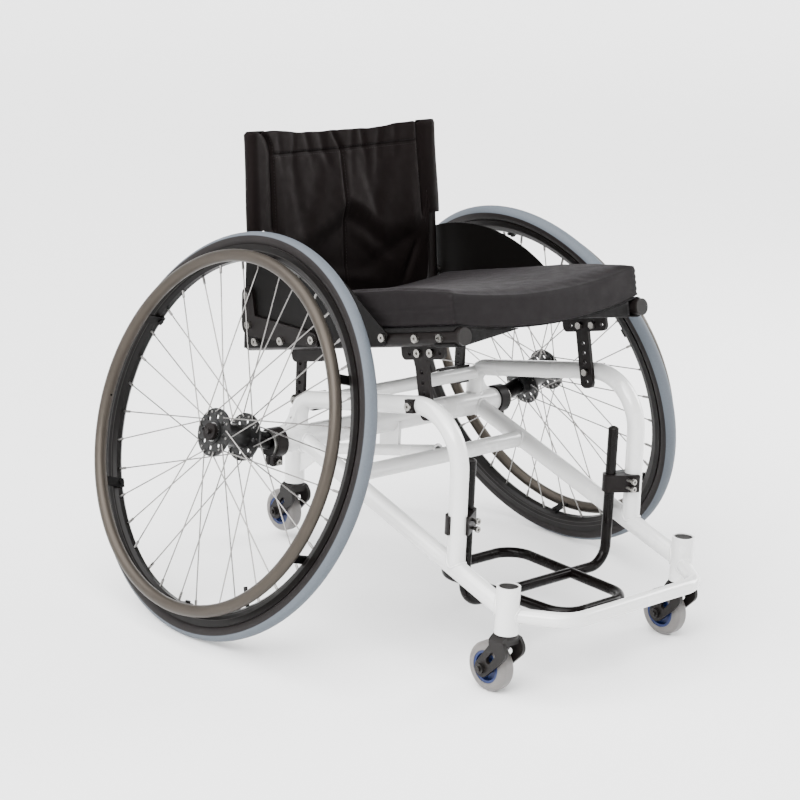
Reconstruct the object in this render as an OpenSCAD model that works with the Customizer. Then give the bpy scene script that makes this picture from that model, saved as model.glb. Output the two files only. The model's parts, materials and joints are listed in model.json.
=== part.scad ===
// Rigid sports wheelchair: cambered wheels, two front casters, rear anti-tip caster, sliding footrest.
// Millimetres. Floor at z = 0, front towards -Y, sitter's left towards +X.

/* [Rear wheels] */
// Diameter of the rim's bead seat
bead_seat_d = 559; // [540:1:590]
// Wheel centre beyond the axle tube's end
wheel_out = 77.5; // [76:0.5:79]
// Lean of each wheel, tops inwards, degrees
camber = 16; // [12:1:18]
// Tyre section diameter
tyre_d = 25; // [23:1:28]
// Tyre section centre above the bead seat
tyre_rise = 13; // [12.5:0.5:15]
// Tyre wall thickness
tyre_wall = 2.2; // [1.5:0.1:3]
// Half width of the tyre bead
bead_half = 9.6; // [9:0.1:9.8]
// Thickness of one bead foot
bead_t = 2.6; // [2:0.1:4]
// Half width across the rim's widest part
rim_half = 11.5; // [11:0.1:13]
// Half width of the rim's inner face
rim_nose_half = 4; // [3:0.5:6]
// Half width of the rim at its shoulder
rim_shoulder_half = 9; // [8:0.5:10]
// Rim depth from bead seat to inner face
rim_depth = 17.5; // [15:0.5:22]
// Rim depth from bead seat to widest part
rim_wide_depth = 5.5; // [4:0.5:8]
// Rim depth from bead seat to shoulder
rim_shoulder_depth = 13.5; // [11:0.5:14]
// Rim hook height above the bead seat
rim_hook = 4.5; // [4:0.5:6]
// Rim wall thickness
rim_wall = 1.8; // [1.5:0.1:2.5]
// Valve stem diameter
valve_d = 6; // [5:0.5:8]
// Valve stem length inside the rim
valve_len = 30; // [20:1:40]
// Valve angle in the wheel plane, degrees
valve_angle = -120; // [-120:60:180]

/* [Hubs and spokes] */
// Hub flange diameter
flange_d = 72; // [66:1:84]
// Hub flange thickness
flange_t = 3.2; // [2.5:0.1:4]
// Flange distance from the wheel plane
flange_at = 29; // [26:1:32]
// Hub barrel diameter
hub_d = 34; // [33:1:36]
// Hub bore between the bearings
hub_bore_d = 20; // [16:1:22]
// Hub end inboard of the wheel plane
hub_in = 42; // [40:1:46]
// Hub end outboard of the wheel plane
hub_out = 33; // [33:0.5:35]
// Spoke hole circle diameter
spoke_pcd = 62; // [58:1:64]
// Spokes per flange
flange_spokes = 18; // [16:2:18]
// Spoke diameter
spoke_d = 2; // [1.6:0.1:2.3]
// Diameter of a spoke's elbow
spoke_elbow_d = 2.3; // [2.2:0.1:2.4]
// Angle a spoke sweeps from flange to rim, degrees
spoke_sweep = 40; // [30:1:46]
// Turn of the spokes against the handrim tabs, degrees
spoke_phase = 5; // [5:1:5]
// Spoke hole diameter
spoke_hole_d = 2.6; // [2.5:0.1:3]
// Lift of outer spokes off the flange face
spoke_lift = 1; // [1:0.1:1.5]
// Gap of inner spokes and heads to the flange face
spoke_gap = 0.15; // [0.1:0.05:0.3]
// Spoke head diameter
spoke_head_d = 3.6; // [3:0.1:4]
// Spoke head thickness
spoke_head_t = 1; // [0.8:0.1:1.5]
// Sideways stagger of the spokes at the rim
rim_stagger = 2; // [1:0.5:2.5]
// Nipple diameter
nipple_d = 4; // [3.5:0.1:4.5]
// Nipple length
nipple_len = 12; // [10:1:16]
// Nipple gap to the rim
nipple_gap = 0.6; // [0.4:0.1:0.8]
// Lightening holes per flange
flange_holes = 8; // [6:1:9]
// Lightening hole diameter
flange_hole_d = 7; // [5:0.5:7.5]
// Lightening hole circle diameter
flange_hole_pcd = 47; // [46:0.5:49]
// Wheel bearing outer diameter
hub_bearing_d = 28; // [26:1:28]
// Wheel bearing width
hub_bearing_w = 9; // [7:1:9]

/* [Handrims] */
// Handrim ring radius to tube centre
handrim_r = 263; // [250:1:270]
// Handrim tube diameter
handrim_d = 18.5; // [16:0.5:20]
// Handrim tube wall
handrim_wall = 1.6; // [1.2:0.1:2.5]
// Handrim distance outboard of the wheel plane
handrim_out = 35.5; // [32:0.5:38]
// Tabs per handrim
tab_count = 6; // [6:1:6]
// Angle of the first tab, degrees
tab_angle = 30; // [30:60:90]
// Tab width
tab_w = 14; // [10:1:18]
// Tab thickness
tab_t = 3.5; // [3:0.5:4]
// Tab reach inboard of the wheel plane
tab_in = 6; // [5:0.5:8]
// Tab gap under the rim
tab_gap = 0.2; // [0.1:0.1:0.4]
// Tab screw diameter
tab_screw_d = 4; // [3:0.5:5]
// Tab screw head diameter
tab_head_d = 8; // [7:0.5:9]
// Tab screw head height
tab_head_t = 3; // [2:0.5:4]
// Tab screw reach into the rim
tab_screw_in = 6; // [4:0.5:8]

/* [Axle] */
// Axle tube diameter
axle_tube_d = 38; // [36:1:42]
// Axle tube wall
axle_wall = 3; // [2.5:0.5:3]
// Camber clamp gap to the axle gusset
clamp_near = 1; // [0.5:0.5:3]
// Camber line's crossing inside the tube's end
meet_in = 12; // [11:0.5:13]
// Gap of the plug in the tube
plug_gap = 0.15; // [0.1:0.05:0.2]
// Plug length inside the tube
plug_len = 50; // [40:1:60]
// Plug flange thickness
plug_flange_t = 5; // [4:0.5:6]
// Plug nose diameter
nose_d = 27; // [25:0.5:27]
// Nose gap to the hub
nose_gap = 0.5; // [0.3:0.1:0.9]
// Axle pin diameter
pin_d = 12.6; // [12:0.1:12.7]
// Axle pin length inboard of the wheel plane
pin_in = 100; // [95:1:104]
// Axle head diameter
pin_head_d = 26; // [22:1:28]
// Axle head thickness
pin_head_t = 6; // [5:0.5:8]
// Push button diameter
button_d = 8; // [6:0.5:8.5]
// Push button length
button_len = 14; // [12:0.5:16]
// Push button proud of the axle head
button_out = 4.5; // [4.2:0.1:5]
// Push button travel
button_travel = 4; // [3:0.5:4]
// Camber clamp width
clamp_w = 19; // [17:1:21]
// Camber clamp ring wall
clamp_wall = 4; // [3:0.5:5]
// Camber clamp lug half width
clamp_lug_half = 9; // [8:0.5:11]
// Camber clamp lug drop below the ring
clamp_lug_drop = 12; // [11:0.5:16]
// Camber clamp slit
clamp_slit = 2; // [1.5:0.5:3]

/* [Frame tubes] */
// Side tube outside the seat rail
side_out = 1.5; // [1:0.5:3]
// Side tube diameter
side_d = 27; // [25:0.5:28]
// Side tube wall
side_wall = 2; // [1.5:0.5:3]
// Rear leg of the side tube behind the axle
rear_leg_y = 4; // [2:0.5:6]
// Corner height of the rear bend
rear_bend_z = 327.5; // [324:0.5:331]
// Rear bend radius
rear_bend_r = 32; // [30:1:34]
// Front bend corner ahead of the axle
front_bend_ahead = 347; // [344:1:350]
// Corner height of the front bend
front_bend_z = 393; // [388:1:398]
// Front bend radius
front_bend_r = 80; // [70:1:90]
// Foot of the front upright ahead of the axle
upright_ahead = 350; // [346:1:354]
// Lower rail diameter
rail_d = 28; // [26:0.5:29]
// Height of the lower rail at the front barrel
rail_front_z = 124; // [120:1:128]
// Middle cross tube ahead of the axle
mid_ahead = 110; // [100:1:120]
// Middle cross tube diameter
mid_d = 25; // [22:0.5:26]
// Rear cross tube ahead of the axle
rear_cross_ahead = 3.4; // [3:0.1:4]
// Rear cross tube height
rear_cross_z = 321.4; // [320:0.1:323]
// Rear cross tube diameter
cross_d = 22; // [20:0.5:23]
// Bumper front ahead of the barrels
bumper_out = 74; // [66:1:84]
// Bumper corner inside the side tube
bumper_in = 53.5; // [46:0.5:60]
// Bumper height
bumper_z = 119; // [117:0.5:122]
// Bumper tube diameter
bumper_d = 22; // [20:0.5:22]
// Bumper corner radius
bumper_r = 50; // [40:1:60]
// Wall of the cross tubes, bumper and strut
thin_wall = 2; // [1.5:0.5:3]
// Rear strut diameter
strut_d = 19; // [18:0.5:20]
// Strut seat above the middle cross tube's axis
strut_seat = 9; // [8:0.5:10]
// Strut drop below the top of the rear barrel
strut_drop = 10; // [9.5:0.5:12]
// Strut gusset thickness
gusset_t = 6; // [5:0.5:8]
// Half length of the gusset under the axle tube
gusset_half = 22; // [18:1:26]
// Rear gusset length ahead of the barrel
rear_gusset_len = 74; // [60:1:84]
// Rear gusset rise above the barrel's bottom
rear_gusset_rise = 8; // [7:0.5:12]
// Axle gusset arc radius
axle_gusset_r = 27; // [26:0.5:27.5]
// Axle gusset thickness
axle_gusset_t = 14; // [12:0.5:16]
// Axle gusset hole diameter
axle_gusset_hole_d = 4; // [3:0.5:5]
// Axle gusset hole depth
axle_gusset_hole_depth = 6; // [4:0.5:7]
// Swelling of a tube's bends
bend_swell = 0.1; // [0.06:0.02:0.12]
// Length by which a straight runs into a bend
bend_lap = 0.5; // [0.4:0.1:0.6]
// Gap left for each weld
weld_gap = 0.1; // [0.05:0.05:0.15]

/* [Casters] */
// Front barrels ahead of the axle
barrel_ahead = 456; // [450:1:462]
// Rear barrel behind the axle
rear_barrel_y = 233; // [226:1:238]
// Lift of the rear caster off the floor
rear_lift = 14; // [8:1:16]
// Barrel diameter
barrel_d = 34; // [33:0.5:36]
// Barrel bore
barrel_bore_d = 28; // [27:0.5:28.5]
// Barrel bottom height
barrel_low = 92.3; // [92.3:0.1:93]
// Barrel length
barrel_len = 69.2; // [66:0.5:72]
// Swivel bearing width
swivel_bearing_w = 9; // [8:0.5:10]
// Depth of the upper bearing below the barrel's top
upper_bearing_drop = 24; // [22:0.5:26]
// Recess of a bearing or cap from the barrel's end
barrel_recess = 1.2; // [0.8:0.1:1.5]
// Barrel cap thickness
cap_t = 4; // [3:0.5:5]
// Fork stem diameter
stem_d = 12; // [10:0.5:14]
// Stem nut size across flats
stem_nut_af = 19; // [17:0.5:20]
// Stem nut height
stem_nut_t = 8; // [6:0.5:9]
// Caster wheel diameter
caster_d = 72.4; // [70:0.2:74]
// Caster wheel width
caster_w = 24; // [22:0.5:25]
// Caster trail
trail = 25; // [22:0.5:28]
// Caster tread edge radius
caster_edge_r = 7; // [5:0.5:9]
// Diameter of the core under the tyre
core_d = 48; // [44:0.5:52]
// Core rim thickness
core_rim_t = 4; // [3:0.5:5]
// Core rim half width
core_rim_half = 11; // [10:0.5:11]
// Core web half thickness
core_web_half = 3.5; // [3:0.5:5]
// Core hub diameter
core_hub_d = 22; // [20:0.5:24]
// Half gap between the fork arms
fork_half = 14.5; // [14:0.5:15.5]
// Fork arm thickness
fork_t = 6; // [5:0.5:7]
// Core gap to the fork arms
core_gap = 0.4; // [0.3:0.1:0.6]
// Fork arm radius at its crown
fork_crown_r = 13; // [12:0.5:14]
// Fork arm radius at its bulge
fork_bulge_r = 16; // [14:0.5:17]
// Bulge ahead of the swivel axis
fork_bulge_ahead = 4; // [3:0.5:5]
// Bulge below the crown's top
fork_bulge_drop = 22; // [20:0.5:24]
// Fork arm radius at the axle
fork_boss_r = 13; // [12:0.5:14]
// Slot radius in the fork arm
fork_slot_r = 4.5; // [4:0.5:5]
// Crown disc diameter
crown_d = 35; // [34:0.5:36]
// Crown disc thickness
crown_t = 4.8; // [4:0.2:6]
// Crown gap under the barrel
crown_gap = 0.5; // [0.4:0.1:0.8]
// Depth of the web under the crown
fork_web = 15; // [13:0.5:15]
// Round of the fork's shoulders
fork_shoulder_r = 27; // [26:0.5:30]
// Drop of the fork's shoulders
fork_shoulder = 12; // [11:0.5:13]
// Tyre clearance inside the fork
fork_clear = 3; // [2.5:0.5:3.5]
// Caster axle diameter
caster_axle_d = 8; // [6:0.5:9]
// Caster axle head diameter
caster_head_d = 15; // [13:0.5:17]
// Caster axle head thickness
caster_head_t = 5; // [4:0.5:6]
// Caster axle stub beyond the head
caster_stub = 3; // [2:0.5:4]

/* [Seat] */
// Seat rail height above the axle line
seat_z = 418.3; // [414:0.1:424]
// Seat dump, rear down, degrees
seat_dump = 12.35; // [11:0.05:13]
// Seat rail diameter
seat_rail_d = 25.4; // [24:0.2:26]
// Seat rail wall
seat_rail_wall = 2.4; // [2:0.2:3]
// Rail end ahead of the seat origin
rail_front = 348; // [340:1:356]
// Rail end behind the seat origin
rail_back = 128; // [122:1:132]
// End plug head thickness
plug_head_t = 4; // [3:0.5:5]
// End plug depth in the tube
plug_depth = 14; // [10:1:18]
// Post plate thickness
post_t = 6; // [5:0.5:6]
// Post flange top above the rail axis
flange_top = 8; // [7:0.5:9]
// Post flange bottom below the rail axis
flange_drop = 33; // [31:0.5:35]
// Post flange corner radius
flange_r = 9; // [7:0.5:11]
// Post flange bolt row below the rail axis
flange_row = 23.5; // [23:0.5:25]
// Front flange rear end ahead of the seat origin
front_flange_near = 202; // [198:1:206]
// Front flange front end ahead of the seat origin
front_flange_far = 292; // [288:1:296]
// Rail face bolts ahead of the seat origin
face_bolts = [264, 315];
// Front flange row bolts
row_bolts = [238, 265];
// Front flange row holes
row_holes = [219, 283];
// Front leg axis ahead of the seat origin
front_leg_at = 241; // [238:1:244]
// Front leg width
front_leg_w = 25; // [22:0.5:27]
// Front leg end below its bolt
front_leg_tail = 25; // [22:0.5:26]
// Leg hole pitch
leg_pitch = 15; // [14:0.5:15]
// Leg hole diameter
leg_hole_d = 6.5; // [6.4:0.1:7]
// Rear flange front end ahead of the seat origin
rear_flange_near = 30; // [26:1:34]
// Rear flange rear end behind the seat origin
rear_flange_far = 50; // [46:1:54]
// Rear leg axis behind the axle
rear_leg_at = 23; // [22:0.5:24]
// Rear leg width
rear_leg_w = 19; // [17:0.5:20]
// Rear leg bolt height
rear_leg_z = 317; // [316:0.5:318]
// Rear leg end below its bolt
rear_leg_tail = 12; // [11:0.5:13]
// Rear clamp radius on the cross tube
post_clamp_r = 14.5; // [14:0.5:16]
// Rear clamp radius at its lug
post_lug_r = 9.5; // [9:0.5:10]
// Lug behind the rear leg's axis
lug_behind = 17.5; // [17:0.5:19]
// Lug below the rear leg's bolt
lug_drop = 3; // [2:0.5:4]
// Rear clamp length
post_clamp_len = 26; // [22:1:30]
// Saddle wall on the side tube
saddle_wall = 3.5; // [3:0.5:4.5]
// Saddle length
saddle_len = 16; // [14:1:18]
// Saddle gap
saddle_gap = 0.5; // [0.5:0.05:0.7]
// Saddle height
saddle_h = 20; // [18:1:22]
// Seat sling thickness
sling_t = 2.5; // [2:0.1:3]
// Sling sag between the rails
sling_sag = 17; // [12:0.5:22]
// Sling end inside the rail ends
sling_inset = 6; // [4:0.5:10]
// Sling edge angle on the rail, degrees
sling_wrap = 40; // [35:1:60]
// Gap kept by soft pieces
soft_gap = 0.4; // [0.3:0.1:0.6]

/* [Cushion] */
// Half width of the cushion
cushion_half = 193; // [170:1:230]
// Cushion edge outside the seat rail's axis
cushion_lap = 8; // [6:0.5:9]
// Cushion front ahead of the seat origin
cushion_front = 342; // [330:1:346]
// Cushion rear behind the seat origin
cushion_back = 82; // [74:1:86]
// Cushion thickness at its front edge
cushion_front_t = 46; // [42:1:50]
// Cushion thickness at its rear
cushion_t = 54; // [50:1:60]
// Length over which the front tapers
cushion_taper = 150; // [120:1:180]
// Crown of the cushion's top
cushion_crown = 9; // [5:0.5:12]
// Corner radius of the cushion
cushion_r = 12; // [10:1:24]
// Forward bow of the cushion's front
cushion_bow = 8; // [4:0.5:12]
// Drawn-in depth of the cushion's sides
cushion_tuck = 2.5; // [1:0.5:4]

/* [Back] */
// Back post foot behind the axle
back_y = 112; // [110:0.5:114]
// Height at which the foot is measured
back_z = 446; // [442:1:450]
// Back post lean, degrees
back_lean = 6.34; // [5:0.02:8]
// Back post inside the seat rail
back_in = 2; // [1:0.5:4]
// Back post diameter
back_d = 19; // [18:0.5:20]
// Back post wall
back_wall = 2; // [1.5:0.5:2.5]
// Post below its foot
post_below = 34; // [32:0.5:35]
// Post above its foot
post_above = 267; // [255:1:275]
// Upholstery thickness
back_t = 2.6; // [2:0.1:3]
// Upholstery sag
back_sag = 22; // [16:0.5:28]
// Sleeve bottom above the post's foot
sleeve_low = 121; // [115:1:127]
// Closed sleeve end
sleeve_end = 4; // [3:0.5:5]
// Lower edge of the panel above the post's foot
panel_low = -25; // [-28:1:10]
// Panel edge inside the back post
panel_in = 40; // [34:1:48]
// Side guard thickness
guard_t = 2.5; // [2:0.1:3]
// Side guard gap to the rail
guard_gap = 0.2; // [0.1:0.1:0.4]
// Guard arc radius
guard_r = 302; // [295:1:310]
// Guard arc centre behind the axle
guard_arc_y = 30; // [25:1:35]
// Guard arc centre height
guard_arc_z = 256.5; // [252:0.5:262]
// Guard rear edge behind the axle
guard_back = 126; // [124:1:128]
// Guard rear edge foot height
guard_back_z = 384; // [382:1:387]
// Guard top front corner ahead of the axle
guard_top_ahead = 116; // [110:1:122]
// Guard front corner ahead of the axle
guard_front_ahead = 202; // [196:1:206]
// Guard front corner height
guard_front_z = 469.5; // [467:0.5:472]
// Guard front foot ahead of the axle
guard_foot_ahead = 196; // [192:1:200]
// Guard front foot height
guard_foot_z = 452; // [450:0.5:454]
// Back plate thickness
plate_t = 5; // [4:0.5:6]
// Back plate gap to the guard
plate_gap = 0.1; // [0.05:0.05:0.2]
// Back plate radius at its upper end
plate_top_r = 13; // [11:0.5:15]
// Back plate radius at its corner
plate_corner_r = 17; // [15:0.5:18]
// Back plate radius at its front end
plate_front_r = 11; // [9:0.5:12]
// Upper bolt above the post's foot
plate_bolt_high = 24; // [20:1:30]
// Lower bolt below the post's foot
plate_bolt_low = 22; // [20:1:24]
// Plate bolts along the rail
plate_bolts = [93, 30, -44];
// Plate bolts above the rail axis
plate_bolt_rise = 3; // [2:0.5:4]
// Guard front bolt ahead of the seat origin
guard_bolt_at = 197; // [195:1:198]

/* [Footrest] */
// Footrest tube diameter
foot_d = 16; // [15:0.5:18]
// Footrest tube wall
foot_wall = 1.8; // [1.5:0.1:2.2]
// Footrest post inside the side tube
foot_in = 35.5; // [34:0.5:38]
// Footrest post behind the upright
foot_behind = 15.2; // [13:0.2:17]
// Footrest post top height
foot_top = 307; // [292:1:316]
// Footrest bar height
foot_z = 91.4; // [88:0.2:98]
// Footrest bend radius
foot_bend_r = 32; // [28:1:36]
// Loop rear behind the footrest posts
loop_rear = 131; // [122:1:138]
// Loop front ahead of the footrest posts
loop_front = 124; // [116:1:130]
// Loop half width at its rear
loop_rear_half = 83.7; // [80:0.1:88]
// Loop half width at its front
loop_front_half = 68; // [64:0.5:72]
// Loop corner radius
loop_r = 38; // [30:1:44]
// Footrest plug dome height
dome_t = 4; // [3:0.5:5]
// Footrest clamp bottom height
foot_clamp_z = 208.5; // [200:0.5:212]
// Footrest clamp height
foot_clamp_h = 27; // [26:1:36]
// Footrest clamp radius on the side tube
foot_clamp_big = 18; // [17.5:0.5:20]
// Footrest clamp radius on the post
foot_clamp_small = 12; // [11.5:0.5:13]
// Footrest clamp lip inside the upright's axis
foot_lip = 4; // [3:0.5:6]
// Footrest clamp slit
foot_slit = 1.5; // [1:0.5:2]
// Footrest clamp bolt inside the clamp's ends
foot_bolt_in = 7.5; // [7:0.5:10]
// Running gap of the footrest posts
slide_gap = 0.05; // [0.03:0.01:0.1]

/* [Bolts and fits] */
// Large bolt diameter
bolt_d = 6; // [5:0.5:6.2]
// Large bolt head diameter
bolt_head_d = 12; // [10:0.5:13]
// Large bolt head height
bolt_head_t = 4; // [3:0.5:5]
// Small bolt diameter
screw_d = 5; // [4:0.5:5.5]
// Small bolt head diameter
screw_head_d = 9; // [8:0.5:10]
// Small bolt head height
screw_head_t = 4; // [3:0.5:5]
// Hex socket size
socket_af = 4; // [3:0.5:4.5]
// Hex socket depth
socket_depth = 2.5; // [1.5:0.5:3]
// Nut size across flats
nut_af = 10; // [9:0.5:11]
// Nut height
nut_t = 5; // [4:0.5:6]
// Gap around a bolt in its hole
hole_gap = 0.25; // [0.15:0.05:0.3]
// Gap under a bolt head or nut
seat_gap = 0.1; // [0.05:0.05:0.2]
// Gap of a fitted part
fit_gap = 0.03; // [0.02:0.01:0.05]
// Overrun of every cut
over = 2; // [1:0.5:3]

/* [Hidden] */
$fn = 48;
rail_x = cushion_half - cushion_lap;
side_x = rail_x + side_out;
axle_half = side_x + side_d / 2 + axle_gusset_r + clamp_near + clamp_w;
wheel_x = axle_half + wheel_out;
camber_meet = axle_half - meet_in;
back_x = rail_x - back_in;
foot_x = side_x - foot_in;
foot_bolt_x = (side_x - side_d / 2 + foot_x + foot_d / 2) / 2;
bumper_ahead = barrel_ahead + bumper_out;
bumper_half = side_x - bumper_in;
seat_r = bead_seat_d / 2;
tyre_r = seat_r + tyre_rise;
wheel_z = tyre_r * cos(camber) + tyre_d / 2;
axle_z = wheel_z - (wheel_x - camber_meet) * tan(camber);
rim_in_r = seat_r - rim_depth;
axle_y = (bumper_ahead + bumper_d / 2 - tyre_r - tyre_d / 2) / 2;
bearing_bore = pin_d + 2 * fit_gap;
rail_slope = (axle_z - rail_front_z) / barrel_ahead;
side_path = [
    [rear_leg_y, axle_z],
    [rear_leg_y, rear_bend_z],
    [-front_bend_ahead, front_bend_z],
    [-upright_ahead, axle_z - rail_slope * upright_ahead]
];
side_bends = [rear_bend_r, front_bend_r];
mid_at = [-mid_ahead, axle_z - rail_slope * mid_ahead];
barrel_top = barrel_low + barrel_len;
strut_path = [
    mid_at + [0, strut_seat],
    [rear_barrel_y, barrel_top + rear_lift - strut_drop]
];
rear_leg = [rear_leg_at, rear_leg_z];
post_lug = rear_leg + [lug_behind, -lug_drop];
crown_z = barrel_low - crown_gap;
caster_z = caster_d / 2;
fork_out = fork_half + fork_t;
guard_x = rail_x + seat_rail_d / 2 + guard_gap;
plate_x = guard_x + guard_t + plate_gap;
post_x = rail_x - seat_rail_d / 2 - seat_gap - post_t;
sling_theta = 2 * atan(sling_sag / rail_x);
sling_rail_r = seat_rail_d / 2 + soft_gap + sling_t;
sling_arc_r = rail_x / sin(sling_theta) - sling_rail_r;
sling_arc_z = rail_x / tan(sling_theta);
back_theta = 2 * atan(back_sag / back_x);
sleeve_r = back_d / 2 + soft_gap + back_t;
back_arc_r = back_x / sin(back_theta) - sleeve_r;
back_arc_z = back_x / tan(back_theta);
front_bolt = line_meet(
    seat_point([-front_leg_at, 0]),
    seat_point([-front_leg_at, seat_z]) - seat_point([-front_leg_at, 0]),
    side_path[1],
    side_path[2] - side_path[1]
);
upright_dir = side_path[3] - side_path[2];
foot_clamp_y = line_meet(
    side_path[2],
    upright_dir,
    [0, foot_clamp_z + foot_clamp_h / 2],
    [side_x, 0]
).x;
foot_ahead = -foot_clamp_y - foot_behind;
guard_from = acos(-(guard_top_ahead + guard_arc_y) / guard_r);
guard_to = acos((guard_back - guard_arc_y) / guard_r);
guard_plan = concat(
    [[guard_back, guard_back_z], [-guard_foot_ahead, guard_foot_z], [-guard_front_ahead, guard_front_z]],
    [
        for (i = [0:30])
            let (t = guard_from + (guard_to - guard_from) * i / 30)
            [guard_arc_y, guard_arc_z] + guard_r * [cos(t), sin(t)]
    ]
);

function unit(v) = v / norm(v);
function line_meet(p, u, q, v) = p + u * cross(q - p, v) / cross(u, v);
function seat_point(p) = [
    p.x * cos(seat_dump) + p.y * sin(seat_dump),
    seat_z - p.x * sin(seat_dump) + p.y * cos(seat_dump)
];
function back_point(b) = [back_y + b * sin(back_lean), back_z + b * cos(back_lean)];
function turn(p, i) =
let (u = p[i] - p[i - 1], w = p[i + 1] - p[i])
atan2(cross(u, w), u * w);
function reach(p, r, i) = r[i - 1] * tan(abs(turn(p, i)) / 2);
function stretched(p, e) = [
    for (i = [0:len(p) - 1]) i == 0 ? p[i] - unit(p[i + 1] - p[i]) * e
    : i == len(p) - 1 ? p[i] + unit(p[i] - p[i - 1]) * e
    : p[i]
];
function wheel_point(a, r, t) = [a, r * cos(t), r * sin(t)];
function arc_points(c, r, t, n) = [for (i = [0:n]) c + r * [cos(t + 90 * i / n), sin(t + 90 * i / n)]];
function edge_points(a, b, n) = [for (i = [1:n - 1]) a + (b - a) * i / n];

// Whole part: the axle line lies behind its middle
module place() translate([0, axle_y, 0]) children();

module at_side(side) {
    if (side < 0)
    mirror([1, 0, 0]) children();
    else
    children();
}

module both_sides() {
    children();
    mirror([1, 0, 0]) children();
}

// Wheel frame: x along the wheel's axle, outwards
module at_wheel() translate([wheel_x, 0, wheel_z]) rotate([0, -camber, 0]) children();

// Plan of a side plate: drawn in (y, z), thickness along x
module in_side(x) translate([x, 0, 0]) rotate([90, 0, 90]) children();

module on_seat() translate([0, 0, seat_z]) rotate([-seat_dump, 0, 0]) children();

module on_back() translate([0, back_y, back_z]) rotate([-back_lean, 0, 0]) children();

module seat_plan() translate([0, seat_z]) rotate(-seat_dump) children();

module along_x() rotate([0, 90, 0]) children();

module along_y() rotate([-90, 0, 0]) children();

module rod(a, b, d) {
    v = b - a;
    translate(a) rotate([0, acos(v.z / norm(v)), atan2(v.y, v.x)])
        cylinder(d = d, h = norm(v));
}

// Round bar along a flat path with rounded corners
module bent(p, r, d) {
    n = len(p);
    for (i = [0:n - 2]) {
        u = unit(p[i + 1] - p[i]);
        a = i == 0 ? p[i] : p[i] + u * (reach(p, r, i) - bend_lap);
        b = i == n - 2 ? p[i + 1] : p[i + 1] - u * (reach(p, r, i + 1) - bend_lap);
        rod([a.x, a.y, 0], [b.x, b.y, 0], d);
    }
    for (i = [1:1:n - 2]) {
        u = unit(p[i] - p[i - 1]);
        a = p[i] - u * reach(p, r, i);
        b = p[i] + unit(p[i + 1] - p[i]) * reach(p, r, i);
        c = a + [-u.y, u.x] * sign(turn(p, i)) * r[i - 1];
        s = turn(p, i) > 0 ? a - c : b - c;
        translate([c.x, c.y, 0]) rotate([0, 0, atan2(s.y, s.x)])
            rotate_extrude(angle = abs(turn(p, i))) translate([r[i - 1], 0])
                circle(d = d + bend_swell);
    }
}

module pipe(p, r, d, wall) {
    difference() {
        bent(p, r, d);
        bent(stretched(p, over), r, d - 2 * wall);
    }
}

// Two circles joined by their outer tangents
module strap2d(a, ra, b, rb) {
    translate(a) circle(r = ra);
    translate(b) circle(r = rb);
    tangents2d(a, ra, b, rb);
}

module tangents2d(a, ra, b, rb) {
    v = b - a;
    t = acos((ra - rb) / norm(v));
    h = atan2(v.y, v.x);
    polygon([
        a + ra * [cos(h + t), sin(h + t)],
        a + ra * [cos(h - t), sin(h - t)],
        b + rb * [cos(h - t), sin(h - t)],
        b + rb * [cos(h + t), sin(h + t)]
    ]);
}

// Rectangle between two corners, corners rounded
module plate2d(a, b, r) {
    translate(a + [r, 0]) square([b.x - a.x - 2 * r, b.y - a.y]);
    translate(a + [0, r]) square([b.x - a.x, b.y - a.y - 2 * r]);
    for (x = [a.x + r, b.x - r]) for (y = [a.y + r, b.y - r])
        translate([x, y]) circle(r = r);
}

module hex2d(af) polygon([for (i = [0:5]) af / (2 * cos(30)) * [cos(60 * i), sin(60 * i)]]);

// Ring about the wheel's axle from a profile in (radius, axial)
module spun() rotate([0, 90, 0]) rotate_extrude() children();

// Bolt along -z from its seat, head above the seat
module bolt(d, head_d, head_t, grip) {
    translate([0, 0, -grip]) cylinder(d = d, h = grip + seat_gap + head_t - socket_depth);
    translate([0, 0, seat_gap]) difference() {
        cylinder(d = head_d, h = head_t);
        translate([0, 0, head_t - socket_depth]) linear_extrude(socket_depth + over)
            hex2d(socket_af);
    }
}

module nut_at(z) {
    translate([0, 0, -z - nut_t - seat_gap]) linear_extrude(nut_t) hex2d(nut_af);
}

// Bolt across the chair, head at x, pointing inwards (1) or outwards (-1)
module side_bolt(x, p, inwards, grip) {
    translate([x, p.x, p.y]) rotate([0, inwards * 90, 0])
        bolt(bolt_d, bolt_head_d, bolt_head_t, grip);
}

module side_nut(x, p, inwards, grip) {
    translate([x, p.x, p.y]) rotate([0, inwards * 90, 0]) nut_at(grip);
}

module side_hole(x, p, length) {
    translate([x, p.x, p.y]) along_x() cylinder(d = bolt_d + 2 * hole_gap, h = length);
}

// Frame tubes

module side_bar(d) in_side(side_x) bent(side_path, side_bends, d);

module axle_bar(d) {
    translate([-axle_half, 0, axle_z]) along_x() cylinder(d = d, h = 2 * axle_half);
}

module rail_bar(d) {
    rod([side_x, 0, axle_z], [side_x, -barrel_ahead, rail_front_z], d);
}

module barrel_bar(d) {
    translate([side_x, -barrel_ahead, barrel_low]) cylinder(d = d, h = barrel_len);
}

module rear_barrel_bar(d) {
    translate([0, rear_barrel_y, barrel_low + rear_lift])
        cylinder(d = d, h = barrel_len);
}

module cross_bar(at, d) {
    translate([-side_x, at.x, at.y]) along_x() cylinder(d = d, h = 2 * side_x);
}

module axle_tube() {
    color("white") place() difference() {
        axle_bar(axle_tube_d);
        translate([-axle_half - over, 0, axle_z]) along_x()
            cylinder(d = axle_tube_d - 2 * axle_wall, h = 2 * axle_half + 2 * over);
    }
}

module side_tube() {
    difference() {
        in_side(side_x) pipe(side_path, side_bends, side_d, side_wall);
        axle_bar(axle_tube_d + 2 * weld_gap);
        rail_bar(rail_d + 2 * weld_gap);
        side_hole(0, front_bolt, 2 * side_x);
    }
}

module side_tube_left() color("white") place() side_tube();

module side_tube_right() color("white") place() at_side(-1) side_tube();

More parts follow.
